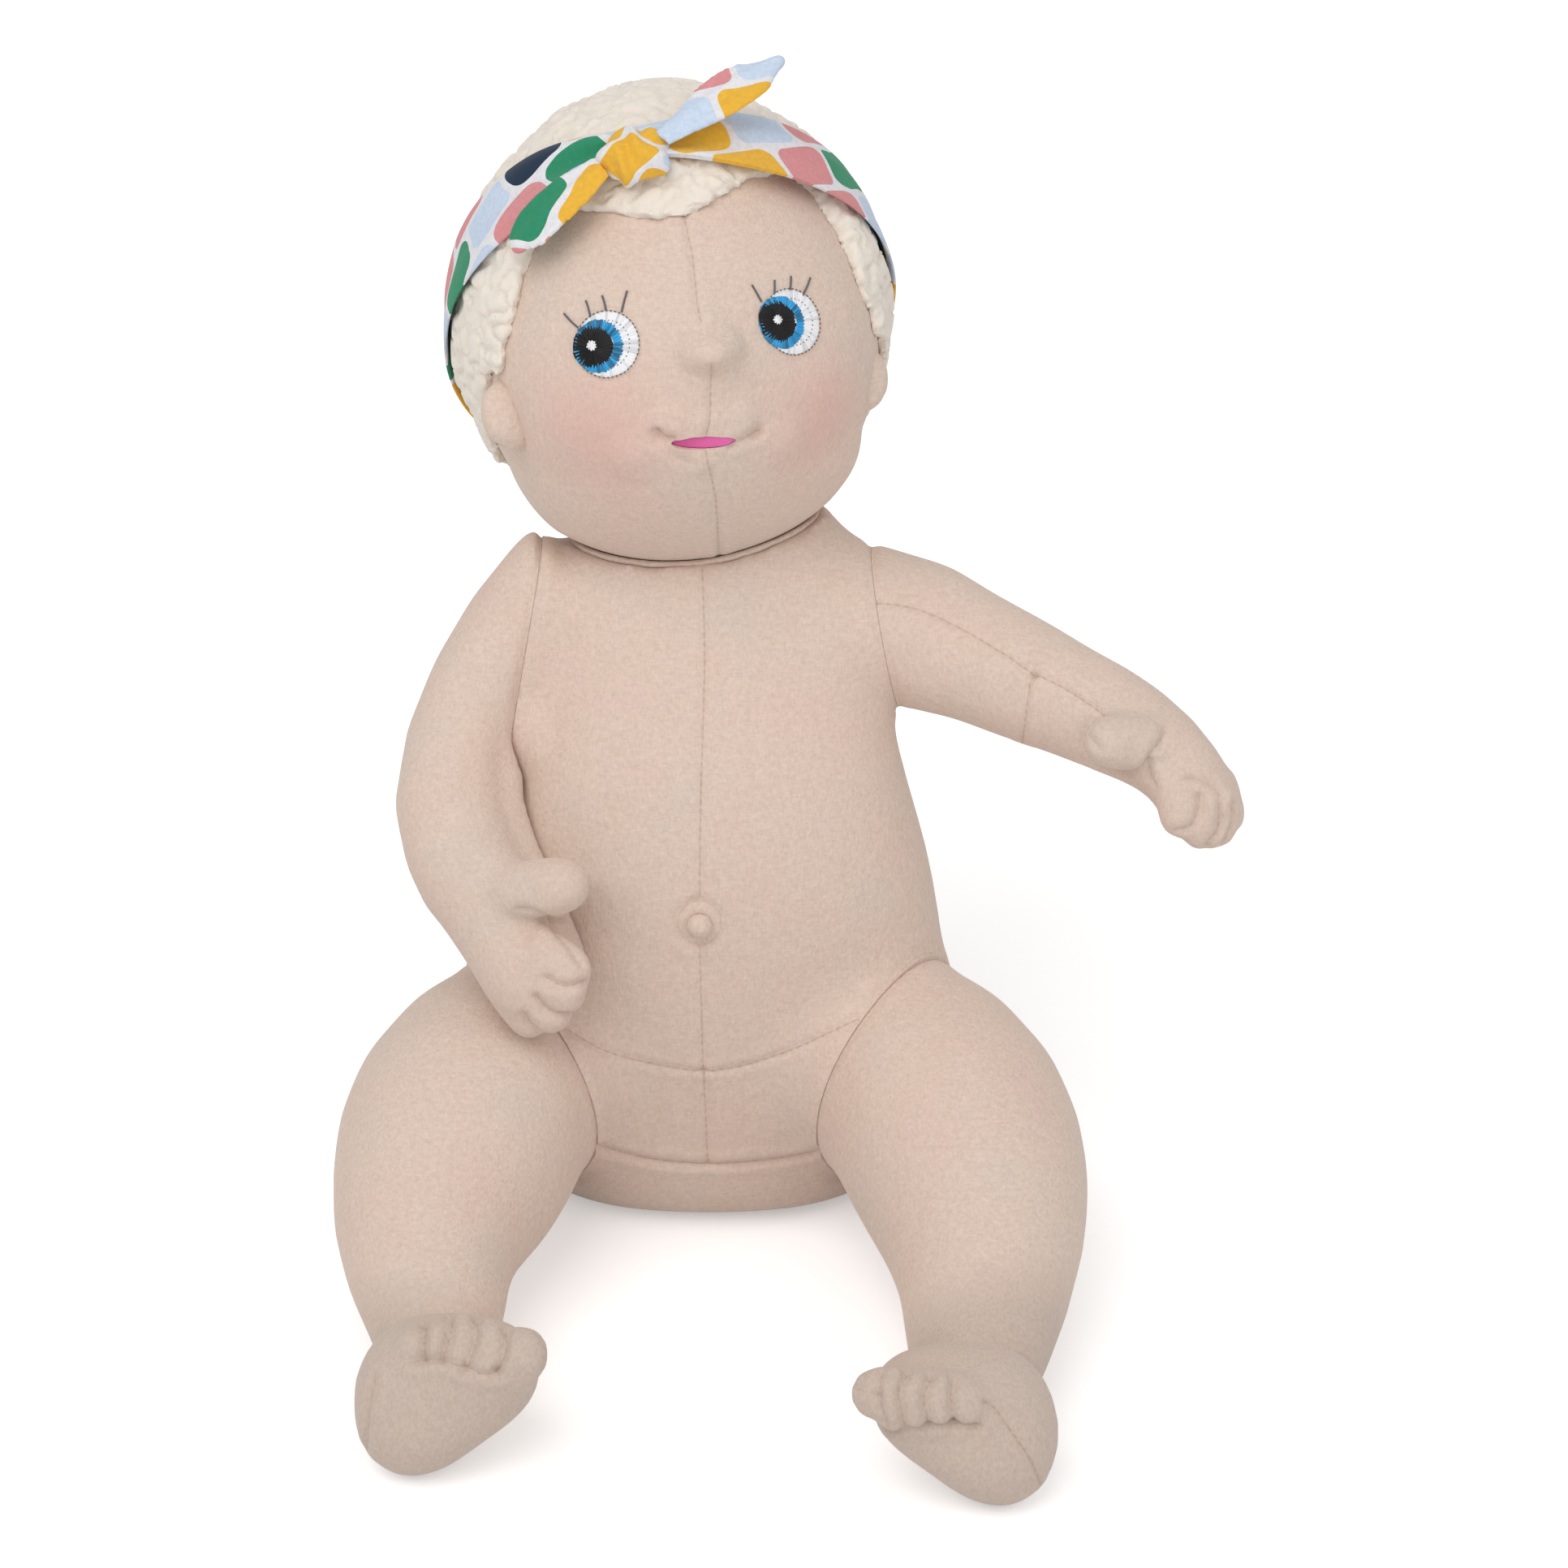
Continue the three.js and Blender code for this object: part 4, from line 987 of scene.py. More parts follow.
def finish_limb(piece, name, limb, lines, softness, wear_and_shade, replaced):
    """Carves a limb's lines, darkens its end with wear and painted shade, cuts it at its seam and finishes
    it.
    """
    carve(piece, lines_on(piece, lines), [limb])
    # Darkens the limb towards its hand or foot: worn felt, and painted shade
    set_attribute(piece.data, "worn", (1 - softness(places(piece.data))) * wear_and_shade)
    cut_at_seam(piece, limb, -1, limb["trim"])
    finish_piece(piece, f"{name}_body", "felt", replaced)


for side in SIDES:
    name = f"{side}_arm"
    limb = LIMBS[name]
    shoulder = stub(nodes["torso"], limb, -1)
    softness = weight_towards(limb, HAND_REACH, HAND_BLEND, HAND_SOFTNESS)
    arm = stuffed(f"{name}_cloth", [nodes[name], shoulder], ARM_VOXEL, ARM_PASSES, softness)
    drop(shoulder)
    match_rim(arm, limb, torso_tree)
    lean_on(arm, cut_torso_tree)
    finish_limb(arm, name, limb, HAND_LINES[name], softness, HAND_WEAR_AND_SHADE, [name])

# Legs and feet. Each toe is a pad, placed and sized by the photograph's pixels.
LEG_VOXEL = 1.5 * MM
LEG_PASSES = 70
FOOT_PASSES = 70
# How far the feet turn to worn felt and painted shade
FOOT_WEAR_AND_SHADE = 0.85
# A pad's depth in the foot as a share of its size, and its sizes as shares of the toe's in the photograph
TOE_SINK = 0.5
TOE_WIDE = 1.36
TOE_HIGH = 1.08
TOE_SUBDIVISIONS = 4
TOE_REACH = 100 * MM
TOE_BLEND = 14 * MM
TOE_SOFTNESS = 0.12
FOOT_LINES = {
    "right_leg": [
        ("crease", 1.2, [(523, 1632), (523, 1648), (522, 1662), (523, 1675)]),
        ("crease", 1.0, [(556, 1624), (554, 1642), (551, 1659), (545, 1675)]),
        ("crease", 1.0, [(588, 1628), (586, 1650), (580, 1673), (573, 1686)]),
        ("crease", 1.1, [(624, 1640), (622, 1662), (618, 1679), (612, 1690)]),
        ("crease", 1.0, [(510, 1678), (523, 1675), (545, 1675), (558, 1680), (574, 1684), (580, 1686),
                         (589, 1692), (601, 1694), (612, 1690)]),
        ("crease", 0.7, [(460, 1700), (456, 1719), (453, 1736), (452, 1762), (450, 1790)]),
    ],
    "left_leg": [
        ("crease", 0.9, [(1086, 1694), (1083, 1714), (1085, 1732), (1092, 1753)]),
        ("crease", 1.0, [(1118, 1692), (1111, 1706), (1108, 1722), (1114, 1754)]),
        ("crease", 1.0, [(1147, 1697), (1141, 1712), (1139, 1727), (1144, 1755)]),
        ("crease", 1.1, [(1174, 1702), (1173, 1723), (1175, 1755)]),
        ("crease", 1.1, [(1092, 1763), (1114, 1759), (1140, 1758), (1160, 1756), (1175, 1755), (1188, 1757),
                         (1204, 1757)]),
        ("crease", 0.5, [(1056, 1712), (1069, 1715), (1083, 1720)]),
        ("seam", 1.0, [(1214, 1727), (1227, 1736), (1240, 1755), (1257, 1779), (1269, 1797), (1279, 1818),
                       (1285, 1838)]),
    ],
}
# Middle of each toe, its half width and half height
TOES = {
    "right_leg": [
        ((508, 1658), 17, 21), ((538, 1654), 16, 24), ((569, 1652), 18, 30), ((604, 1661), 19, 33),
        ((645, 1671), 22, 32),
    ],
    "left_leg": [
        ((1092, 1702), 22, 15), ((1073, 1719), 17, 28), ((1100, 1724), 19, 35), ((1128, 1726), 20, 32),
        ((1158, 1726), 20, 31), ((1190, 1728), 20, 29),
    ],
}


def toe_pads(foot, toes):
    """A row of stuffed pads half sunk in a foot."""
    tree = tree_of(foot.data)
    shape = bmesh.new()
    for pixel, half_width, half_height in toes:
        middle = seen_point(tree, pixel)
        wide = half_width * pixel_size(middle) * TOE_WIDE
        high = half_height * pixel_size(middle) * TOE_HIGH
        place = Matrix.Translation(middle - toward_camera * wide * TOE_SINK)
        place = place @ Matrix.Rotation(-CAMERA_ELEVATION, 4, "X") @ Matrix.Diagonal((wide, wide, high, 1))
        bmesh.ops.create_icosphere(shape, subdivisions=TOE_SUBDIVISIONS, radius=1, matrix=place)
    return object_from("toe_pads", shape)


for side in SIDES:
    name = f"{side}_leg"
    limb = LIMBS[name]
    hip = stub(nodes["torso"], limb, -1)
    foot = stuffed("foot", [nodes[f"{side}_foot"]], LEG_VOXEL, FOOT_PASSES, level=0)
    foot.data.transform(Matrix.Translation((0, LAP, 0)))
    toes = toe_pads(foot, TOES[name])
    softness = weight_towards(limb, TOE_REACH, TOE_BLEND, TOE_SOFTNESS)
    leg = stuffed(f"{name}_cloth", [nodes[name], foot, toes, hip], LEG_VOXEL, LEG_PASSES, softness)
    drop(hip, foot, toes)
    rest_on_floor(leg)
    match_rim(leg, limb, torso_tree)
    round_rim(leg, limb)
    finish_limb(leg, name, limb, FOOT_LINES[name], softness, FOOT_WEAR_AND_SHADE, [name, f"{side}_foot"])

# Neck: a thin soft roll between the torso's neckline and the head
NECK_VOXEL = 0.9 * MM
NECK_PASSES = 6
NECK_INNER = 60.12 * MM
NECK_CAD_INNER = 60.5 * MM
NECK_CAD_OUTER = 63.9 * MM
NECK_SHOWN = math.radians(-0.7)
COLLAR_REACH = 62.6 * MM
COLLAR_BINS = 36
COLLAR_PASSES = 2
neck_axis = np.array(joints["neck_turn"]["axis"])
neck_across = np.array(Vector(neck_axis).orthogonal().normalized())
neck_along = np.cross(neck_axis, neck_across)


def up_from_pole(directions):
    """Angle of each direction from the neck's pole, straight down its axis."""
    return np.arccos(np.clip(-directions @ neck_axis, -1, 1))


def collar_angles(piece, directions):
    """How far up from the neck's pole the torso's neckline reaches, in each of the given directions."""
    collar, distance = from_head(places(piece.data))
    collar = collar[distance < COLLAR_REACH]
    bins = (turn_round(collar, neck_across, neck_along) * COLLAR_BINS).astype(int)
    highest = np.zeros(COLLAR_BINS)
    np.maximum.at(highest, bins, up_from_pole(collar))
    highest = smooth_round(highest, COLLAR_PASSES)
    turn = turn_round(directions, neck_across, neck_along)
    middles = (np.arange(-1, COLLAR_BINS + 1) + 0.5) / COLLAR_BINS
    return np.interp(turn, middles, np.concatenate([highest[-1:], highest, highest[:1]]))


neck = stuffed("neck_cloth", [nodes["neck_roll"]], NECK_VOXEL, NECK_PASSES, level=0)
neck_direction, neck_distance = from_head(places(neck.data))
sideways = neck_direction - np.outer(neck_direction @ neck_axis, neck_axis)
sideways /= np.linalg.norm(sideways, axis=1)[:, None] + TINY
rim_angle = up_from_pole(neck_direction)
lowered = rim_angle * (collar_angles(torso, neck_direction) + NECK_SHOWN) / rim_angle.max()
neck_direction = sideways * np.sin(lowered)[:, None] - np.outer(np.cos(lowered), neck_axis)
thin = (NECK_OUTER - NECK_INNER) / (NECK_CAD_OUTER - NECK_CAD_INNER)
neck_distance = NECK_INNER + np.clip(neck_distance - NECK_CAD_INNER, 0, None) * thin
set_places(neck.data, np.array(HEAD_CENTRE) + neck_direction * neck_distance[:, None])
finish_piece(neck, "neck_body", "felt", ["neck_roll"])

# Head: a felt skin with raised features, a chin that fills the neck's bowl, and a slit for the mouth
HEAD_VOXEL = 1.4 * MM
HEAD_PASSES = 42
FILLING_GROW = 1.06
MOUTH_MIDDLE = (864, 546)
MOUTH_HALF_WIDTH = 7.5 * MM
MOUTH_HALF_HEIGHT = 1.75 * MM
MOUTH_DEPTH = 12.4 * MM
MOUTH_START = -9 * MM
MOUTH_SIDES = 40
# Depth behind the lips, and the pocket's half width and half height there as shares of the mouth's
MOUTH_STATIONS = [
    (MOUTH_START, 1.0, 1.0),
    (0.6 * MM, 1.0, 1.0),
    (3 * MM, 1.2, 1.6),
    (6 * MM, 1.35, 2.0),
    (MOUTH_DEPTH, 1.35, 2.0),
]
CHIN_RADIUS = 59.9 * MM
# Degrees from the neck's pole over which the chin's fullness and its limit fade away
CHIN_FADE = [37, 58]
NOD_FADE = [54, 64]
# Raised and sunk places on the face: middle, radius in the photograph's pixels, and height
FACE_FORMS = [
    ((860, 434), 34, 3.1 * MM),
    ((895, 429), 34, 3.1 * MM),
    ((878, 438), 28, 2.6 * MM),
    ((1044, 600), 84, 3.4 * MM),
    ((826, 520), 34, 1.2 * MM),
    ((912, 512), 34, 1.2 * MM),
    ((868, 522), 22, 0.9 * MM),
    ((866, 572), 24, 1.0 * MM),
    ((812, 540), 20, -1.3 * MM),
    ((934, 530), 18, -1.0 * MM),
    ((780, 566), 46, 1.3 * MM),
    ((968, 546), 44, 1.2 * MM),
]
FACE_LINES = [
    ("seam", 1.0, [(840, 250), (848, 290), (853, 312), (859, 369), (863, 392)]),
    ("seam", 1.0, [(877, 452), (876, 475), (875, 519), (871, 535)]),
    ("seam", 1.0, [(870, 556), (875, 581), (881, 609), (884, 640), (886, 690)]),
    ("crease", 1.0, [(810, 531), (818, 539), (829, 541)]),
    ("crease", 0.9, [(901, 548), (916, 543), (932, 532)]),
    ("crease", 0.4, [(822, 552), (836, 566), (856, 571)]),
]
# Middle in the photograph's pixels, radius and strength
BLUSH_SPOTS = [((738, 540), 17 * MM, 0.42), ((1016, 512), 15 * MM, 0.42)]
mouth_across = Vector((1, 0, 0))
mouth_inward = Vector((0, 1, 0))
mouth_up = mouth_across.cross(mouth_inward)


def mouth_form(name, lips, inset, front, back):
    """The mouth's pocket, drawn in by an inset: a narrow slit at the lips that widens behind them."""
    points = []
    for depth, wide, high in MOUTH_STATIONS:
        depth = min(max(depth, front), MOUTH_DEPTH - back)
        width = MOUTH_HALF_WIDTH * wide - inset
        height = MOUTH_HALF_HEIGHT * high - inset
        for k in range(MOUTH_SIDES):
            turn = 2 * math.pi * k / MOUTH_SIDES
            across, up = math.cos(turn) * width, math.sin(turn) * height
            points.append(lips + mouth_across * across + mouth_up * up + mouth_inward * depth)
    return closed_object(name, points, tube_faces(len(MOUTH_STATIONS), MOUTH_SIDES))


def round_chin(piece):
    """Fills the chin out to the neck's bowl, and keeps what nods into the bowl within it."""
    points = places(piece.data)
    direction, distance = from_head(points)
    angle = np.degrees(up_from_pole(direction))
    fuller = np.clip(CHIN_RADIUS - distance, 0, None) * np.interp(angle, CHIN_FADE, [1, 0])
    over = np.clip(distance - CHIN_RADIUS, 0, None) * np.interp(angle, NOD_FADE, [1, 0])
    set_places(piece.data, points + direction * (fuller - over)[:, None])


filling = hull_of("filling", nodes["mouth_lining"], FILLING_GROW)
head = stuffed("head_cloth", [nodes["head"], filling], HEAD_VOXEL, HEAD_PASSES)
drop(filling)
raise_forms(head, FACE_FORMS)
round_chin(head)
smooth_tree = tree_of(head.data)
lips = seen_point(smooth_tree, MOUTH_MIDDLE)
carve(head, lines_on(head, FACE_LINES))
cut(head, mouth_form("slot", lips, 0, MOUTH_START, 0))
head_points = places(head.data)
blush = np.zeros(len(head_points))
for pixel, radius, strength in BLUSH_SPOTS:
    away = np.linalg.norm(head_points - np.array(seen_point(smooth_tree, pixel)), axis=1)
    blush = np.maximum(blush, strength * np.exp(-(away / radius) ** 2))
set_attribute(head.data, "blush", blush)
finish_piece(head, "head_body", "felt", ["head"])

# Ears, sewn against the head
EAR_VOXEL = 0.9 * MM
EAR_PASSES = 9
EAR_SHIFTS = {"right": (1.5 * MM, 0, 0), "left": (-5 * MM, 0, 0)}
for side, shift in EAR_SHIFTS.items():
    ear = stuffed(f"{side}_ear_cloth", [nodes[f"{side}_ear"]], EAR_VOXEL, EAR_PASSES)
    ear.data.transform(Matrix.Translation(shift))
    cut(ear, copy_of("head_shape", head))
    finish_piece(ear, "head_body", "felt", [f"{side}_ear"])

# The lining fills the pocket as folded cloth does, just behind the lips
LINING_FRONT = 0.8 * MM
lining = mouth_form("mouth_lining_cloth", lips, SEAM_GAP, LINING_FRONT, SEAM_GAP)
finish_piece(lining, "head_body", "pink_cloth", ["mouth_lining"])

# Hair: a fleece whose curls are the crests of a coarse and a fine set of waves, bent by a third
HAIR_VOXEL = 1.5 * MM
HAIR_PASSES = 12
HAIR_REST = 0.1 * MM
HAIR_SETTLE = 1.3 * MM
BEND = 1.8 * MM
BEND_SIZE = 9 * MM
BEND_WAVES = 16
CURL_SIZE = 8.5 * MM
CURL_SHARE = 0.7
FINE_SIZE = 4 * MM
FINE_SHARE = 0.3
CURL_HEIGHT = 1.0 * MM
CURL_TOP = 1.3
CURL_BASE = 0.4
# How squarely the fleece faces outward where it begins to settle on the head, and where its curls begin
SETTLE_START = 0.5
CURLS_START = -0.5
CURLS_RANGE = 0.6
# How far the colour turns to painted shade low in the pile, at no height, and how fast it pales with height
PILE_SHADE_BASE = 0.25
PILE_SHADE_FALL = 0.9
hair = stuffed("hair_fleece", [nodes["hair_cap"]], HAIR_VOXEL, HAIR_PASSES)
hair_points = places(hair.data)
hair_normals = normals(hair.data)
radial = hair_points - np.array(HEAD_CENTRE)
radial /= np.linalg.norm(radial, axis=1)[:, None]
outward = np.sum(radial * hair_normals, axis=1)
settled = np.clip(1 - outward / SETTLE_START, 0, 1)
for k in np.flatnonzero(settled > 0):
    hit = smooth_tree.ray_cast(HEAD_CENTRE, Vector(radial[k]))[0]
    rise = np.linalg.norm(hair_points[k] - np.array(hit))
    hair_points[k] -= radial[k] * settled[k] * np.clip(rise - HAIR_REST, 0, HAIR_SETTLE)
bends = [waves(hair_points, BEND_SIZE, BEND_WAVES) for _ in range(3)]
bent = hair_points + BEND * np.stack(bends, axis=1)
curl = np.abs(waves(bent, CURL_SIZE)) * 2
fine = np.abs(waves(bent, FINE_SIZE)) * 2
height = np.minimum(CURL_SHARE * curl + FINE_SHARE * fine, CURL_TOP) - CURL_BASE
curly = np.clip((outward - CURLS_START) / CURLS_RANGE, 0, 1)
set_places(hair.data, hair_points + hair_normals * (height * CURL_HEIGHT * curly)[:, None])
# Painted shade between the curls, strongest where the pile is lowest
set_attribute(hair.data, "pile_shade", np.clip(PILE_SHADE_BASE - PILE_SHADE_FALL * height, 0, 1))
finish_piece(hair, "head_body", "fleece", ["hair_cap"])

# Eyes: rings of radial satin stitches on the face, lashes, and a dotted outline
NEEDLE_HOLE = 0.04 * MM
FURROW = 0.55
EDGE_RISE = 0.35
ARCH_POWER = 4
THREAD_COLUMNS = 4
THREAD_ROWS = 5
THREAD_HEIGHTS = (0.75, 1.0)
# Each ring's slot, inner and outer radius, number of threads, rise at its edge and top, and raggedness
EYE_RINGS = {
    "eye_white": ("white_thread", 0, 8.2 * MM, 60, 0.1 * MM, 0.75 * MM, 0.12 * MM),
    "iris": ("blue_thread", 3.6 * MM, 6.6 * MM, 46, 0.3 * MM, 1.15 * MM, 0.15 * MM),
    "pupil": ("black_thread", 0, 5.3 * MM, 34, 0.5 * MM, 1.45 * MM, 0.18 * MM),
    "glint": ("white_thread", 0, 1.5 * MM, 10, 0.7 * MM, 1.75 * MM, 0.15 * MM),
}
# Azimuth and elevation of each ring on the head, in degrees, in the same order
EYE_PLACES = {
    "right": [(-25.7, -6.6), (-28.0, -6.8), (-29.4, -6.8), (-29.4, -6.4)],
    "left": [(24.5, -5.2), (21.4, -5.2), (19.9, -4.9), (19.7, -4.5)],
}
# Lashes, drawn in the photograph's pixels
LASHES = {
    "right": [
        [(695, 386), (703, 395), (713, 404)],
        [(722, 370), (725, 379), (728, 391)],
        [(742, 364), (745, 373), (747, 383)],
        [(773, 358), (769, 372), (766, 385)],
    ],
    "left": [
        [(926, 351), (932, 361), (938, 372)],
        [(954, 345), (954, 352), (954, 362)],
        [(974, 340), (974, 348), (973, 358)],
        [(998, 342), (994, 353), (988, 365)],
    ],
}
LASH_RADIUS = 0.26 * MM
LASH_RISE = 0.25 * MM
THREAD_END = 0.55
# Dotted outlines: their radius, number of dashes, and the share of each that is thread
OUTLINES = [(8.35 * MM, 46, 0.55), (5.904 * MM, 34, 0.3)]
OUTLINE_RADIUS = 0.2 * MM
OUTLINE_RISE = 0.55 * MM
OUTLINE_SIDES = 5
OUTLINE_STEPS = 2


def on_face(place, rise):
    """Moves a point along its line from the head's centre onto the face, at a height over it."""
    direction = (place - HEAD_CENTRE).normalized()
    hit = smooth_tree.ray_cast(HEAD_CENTRE, direction)[0]
    return hit + direction * rise


def face_disc(azimuth, elevation):
    """A point on the face, and two directions across the face there."""
    middle, facing, _, _ = smooth_tree.ray_cast(HEAD_CENTRE, head_direction(azimuth, elevation))
    facing = facing if facing.dot(middle - HEAD_CENTRE) > 0 else -facing
    across = facing.cross(Vector((0, 0, 1))).normalized()
    return middle, across, across.cross(facing)


def disc_place(disc, turn, radius):
    middle, across, along = disc
    return middle + across * (math.cos(turn) * radius) + along * (math.sin(turn) * radius)


def stitched_ring(name, disc, inner, outer, threads, low, high, ragged):
    """A ring of radial stitches: one ridge a thread, on a closed base."""
    columns = threads * THREAD_COLUMNS
    inner_jitter = random.uniform(-ragged, ragged, threads)
    outer_jitter = random.uniform(-ragged, ragged, threads)
    heights = random.uniform(*THREAD_HEIGHTS, threads)
    points = []
    for column in range(columns):
        thread = column // THREAD_COLUMNS
        ridge = math.sin(math.pi * (column % THREAD_COLUMNS + 0.5) / THREAD_COLUMNS)
        turn = 2 * math.pi * column / columns
        start = inner + inner_jitter[thread] if inner > 0 else NEEDLE_HOLE
        end = outer + outer_jitter[thread]
        for row in range(THREAD_ROWS + 1):
            share = row / THREAD_ROWS
            edge = 2 * share - 1 if inner > 0 else share
            parted = 1 if inner > 0 else share
            arch = EDGE_RISE + (1 - EDGE_RISE) * math.sqrt(max(1 - edge ** ARCH_POWER, 0))
            even = (1 - (1 - heights[thread]) * parted) * (1 - FURROW * (1 - ridge) * parted)
            place = disc_place(disc, turn, start + (end - start) * share)
            points.append(on_face(place, low + (high - low) * even * arch))
        for radius in (end, start):
            points.append(on_face(disc_place(disc, turn, radius), -low))
    ring = len(points) // columns
    faces = []
    for column in range(columns):
        here, there = column * ring, (column + 1) % columns * ring
        for k in range(ring):
            after = (k + 1) % ring
            faces.append((here + k, there + k, there + after, here + after))
    piece = closed_object(name, points, faces)
    set_attribute(piece.data, "tone", np.repeat(random.uniform(0, 1, threads), THREAD_COLUMNS * ring))
    return piece


def thread_along(name, lines, radius, rise, sides=6):
    """Threads laid on the face along lines of points, joined in one mesh."""
    points = []
    faces = []
    for line in lines:
        line = [on_face(p, rise) for p in line]
        faces += tube_faces(len(line), sides, len(points))
        for i, place in enumerate(line):
            ahead = (line[min(i + 1, len(line) - 1)] - line[max(i - 1, 0)]).normalized()
            across = ahead.cross((place - HEAD_CENTRE).normalized()).normalized()
            up = across.cross(ahead)
            taper = THREAD_END if i in (0, len(line) - 1) else 1
            for k in range(sides):
                turn = 2 * math.pi * k / sides
                points.append(place + (across * math.cos(turn) + up * math.sin(turn)) * radius * taper)
    return new_object(name, mesh_from(name, points, faces))


for side, eye_places in EYE_PLACES.items():
    for (part, (slot, *form)), place in zip(EYE_RINGS.items(), eye_places):
        ring = stitched_ring(f"{side}_{part}_thread", face_disc(*place), *form)
        finish_piece(ring, "head_body", slot, [f"{side}_{part}"])
    lash_lines = [seen_line(smooth_tree, line) for line in LASHES[side]]
    lashes = thread_along(f"{side}_lashes", lash_lines, LASH_RADIUS, LASH_RISE)
    finish_piece(lashes, "head_body", "black_thread", look="grey_thread")
    disc = face_disc(*eye_places[0])
    dashes = []
    for radius, count, share in OUTLINES:
        for k in range(count):
            steps = [k + share * step / OUTLINE_STEPS for step in range(OUTLINE_STEPS + 1)]
            dashes.append([disc_place(disc, 2 * math.pi * step / count, radius) for step in steps])
    outline = thread_along(f"{side}_eye_outline", dashes, OUTLINE_RADIUS, OUTLINE_RISE, OUTLINE_SIDES)
    finish_piece(outline, "head_body", "black_thread", look="grey_thread")

# Headband: resampled from its solid, with folds that gather towards the knot
BAND_TILT = math.radians(32.4)
BAND_HEIGHT = 13.3 * MM
BAND_HALF_WIDTH = 11 * MM
BAND_PINCH = 0.45
BAND_PINCH_SPREAD = 0.32
BAND_THICKNESS = 1.1 * MM
BAND_COLUMNS = 300
BAND_ROWS = 22
BAND_PASSES = 14
# Where the solid is measured: from outside it, and a little in from its edges
BAND_OUTSIDE = 150 * MM
BAND_INSIDE = 0.93
KNOT_DIRECTION = (-14, 38.5)
GATHER_SPREAD = 0.62
GATHER_RISE = 0.9 * MM
FOLDS = 3.1
FOLD_START = 0.2
FOLD_SWAY = 0.35
FOLD_SWAYS = 2.3
FOLD_HEIGHT = 0.12 * MM
FOLD_GATHERED_HEIGHT = 1.1 * MM
INNER_FOLD_SHARE = 0.4
HEM_POWER = 8
HEM_THICKNESS = 0.35
PRINT_RADIUS = 62 * MM
band_up = head_frame @ Vector((0, math.sin(BAND_TILT), math.cos(BAND_TILT)))
band_front = head_frame @ Vector((0, -math.cos(BAND_TILT), math.sin(BAND_TILT)))
band_side = head_frame @ Vector((1, 0, 0))
band_tree = tree_of(nodes["headband_loop"].data)
knot_line = head_direction(*KNOT_DIRECTION)
knot_angle = math.atan2(knot_line.dot(band_side), knot_line.dot(band_front))


def band_column(i):
    """The direction out from the band's axis at a column, and its angle from the knot."""
    angle = 2 * math.pi * i / BAND_COLUMNS
    out = band_front * math.cos(angle) + band_side * math.sin(angle)
    return out, math.atan2(math.sin(angle - knot_angle), math.cos(angle - knot_angle))


def band_mesh():
    """Points of the band's inner and outer face, where each lies on the flat cloth, and the band's faces."""
    reach = np.zeros((BAND_COLUMNS, BAND_ROWS + 1))
    levels = np.zeros_like(reach)
    for i in range(BAND_COLUMNS):
        out, turn = band_column(i)
        pinch = 1 - BAND_PINCH * math.exp(-((turn / BAND_PINCH_SPREAD) ** 2))
        for j in range(BAND_ROWS + 1):
            rise = (2 * j / BAND_ROWS - 1) * BAND_HALF_WIDTH * pinch
            levels[i, j] = BAND_HEIGHT + rise
            start = HEAD_CENTRE + band_up * (BAND_HEIGHT + rise * BAND_INSIDE) + out * BAND_OUTSIDE
            hit = band_tree.ray_cast(start, -out)[0]
            reach[i, j] = (hit - HEAD_CENTRE).dot(out) if hit is not None else reach[i - 1, j]
    reach = smooth_round(reach, BAND_PASSES)
    points = []
    cloth = []
    for layer in (0, 1):
        for i in range(BAND_COLUMNS):
            out, turn = band_column(i)
            gather = math.exp(-((turn / GATHER_SPREAD) ** 2))
            for j in range(BAND_ROWS + 1):
                share = j / BAND_ROWS
                sway = FOLD_SWAY * math.sin(FOLD_SWAYS * turn)
                fold = math.sin(math.pi * (FOLDS * share + sway + FOLD_START))
                rise = (FOLD_GATHERED_HEIGHT * gather + FOLD_HEIGHT) * fold + GATHER_RISE * gather
                full = 1 - (2 * share - 1) ** HEM_POWER
                depth = BAND_THICKNESS * (HEM_THICKNESS + (1 - HEM_THICKNESS) * full) if layer else 0
                radius = reach[i, j] + rise * (INNER_FOLD_SHARE if layer else 1) - depth
                points.append(HEAD_CENTRE + band_up * levels[i, j] + out * radius)
                cloth.append((turn * PRINT_RADIUS, (share - 0.5) * BAND_HALF_WIDTH * 2, 0))
    size = BAND_ROWS + 1
    inner = BAND_COLUMNS * size
    faces = []
    for i in range(BAND_COLUMNS):
        here, there = i * size, (i + 1) % BAND_COLUMNS * size
        for j in range(BAND_ROWS):
            faces.append((here + j, there + j, there + j + 1, here + j + 1))
            faces.append((inner + here + j, inner + here + j + 1, inner + there + j + 1, inner + there + j))
        for j in (0, BAND_ROWS):
            faces.append((here + j, inner + here + j, inner + there + j, there + j))
    return points, cloth, faces


def set_cloth(mesh, values):
    """Stores where each point of a mesh lies on the flat printed cloth."""
    made = mesh.attributes.new("cloth", "FLOAT_VECTOR", "POINT")
    made.data.foreach_set("vector", np.ascontiguousarray(values, dtype=np.float32).ravel())


band_points, band_cloth, band_faces = band_mesh()
band = closed_object("headband_loop_cloth", band_points, band_faces)
set_cloth(band.data, band_cloth)
finish_piece(band, "headband_body", "printed_cotton", ["headband_loop"])

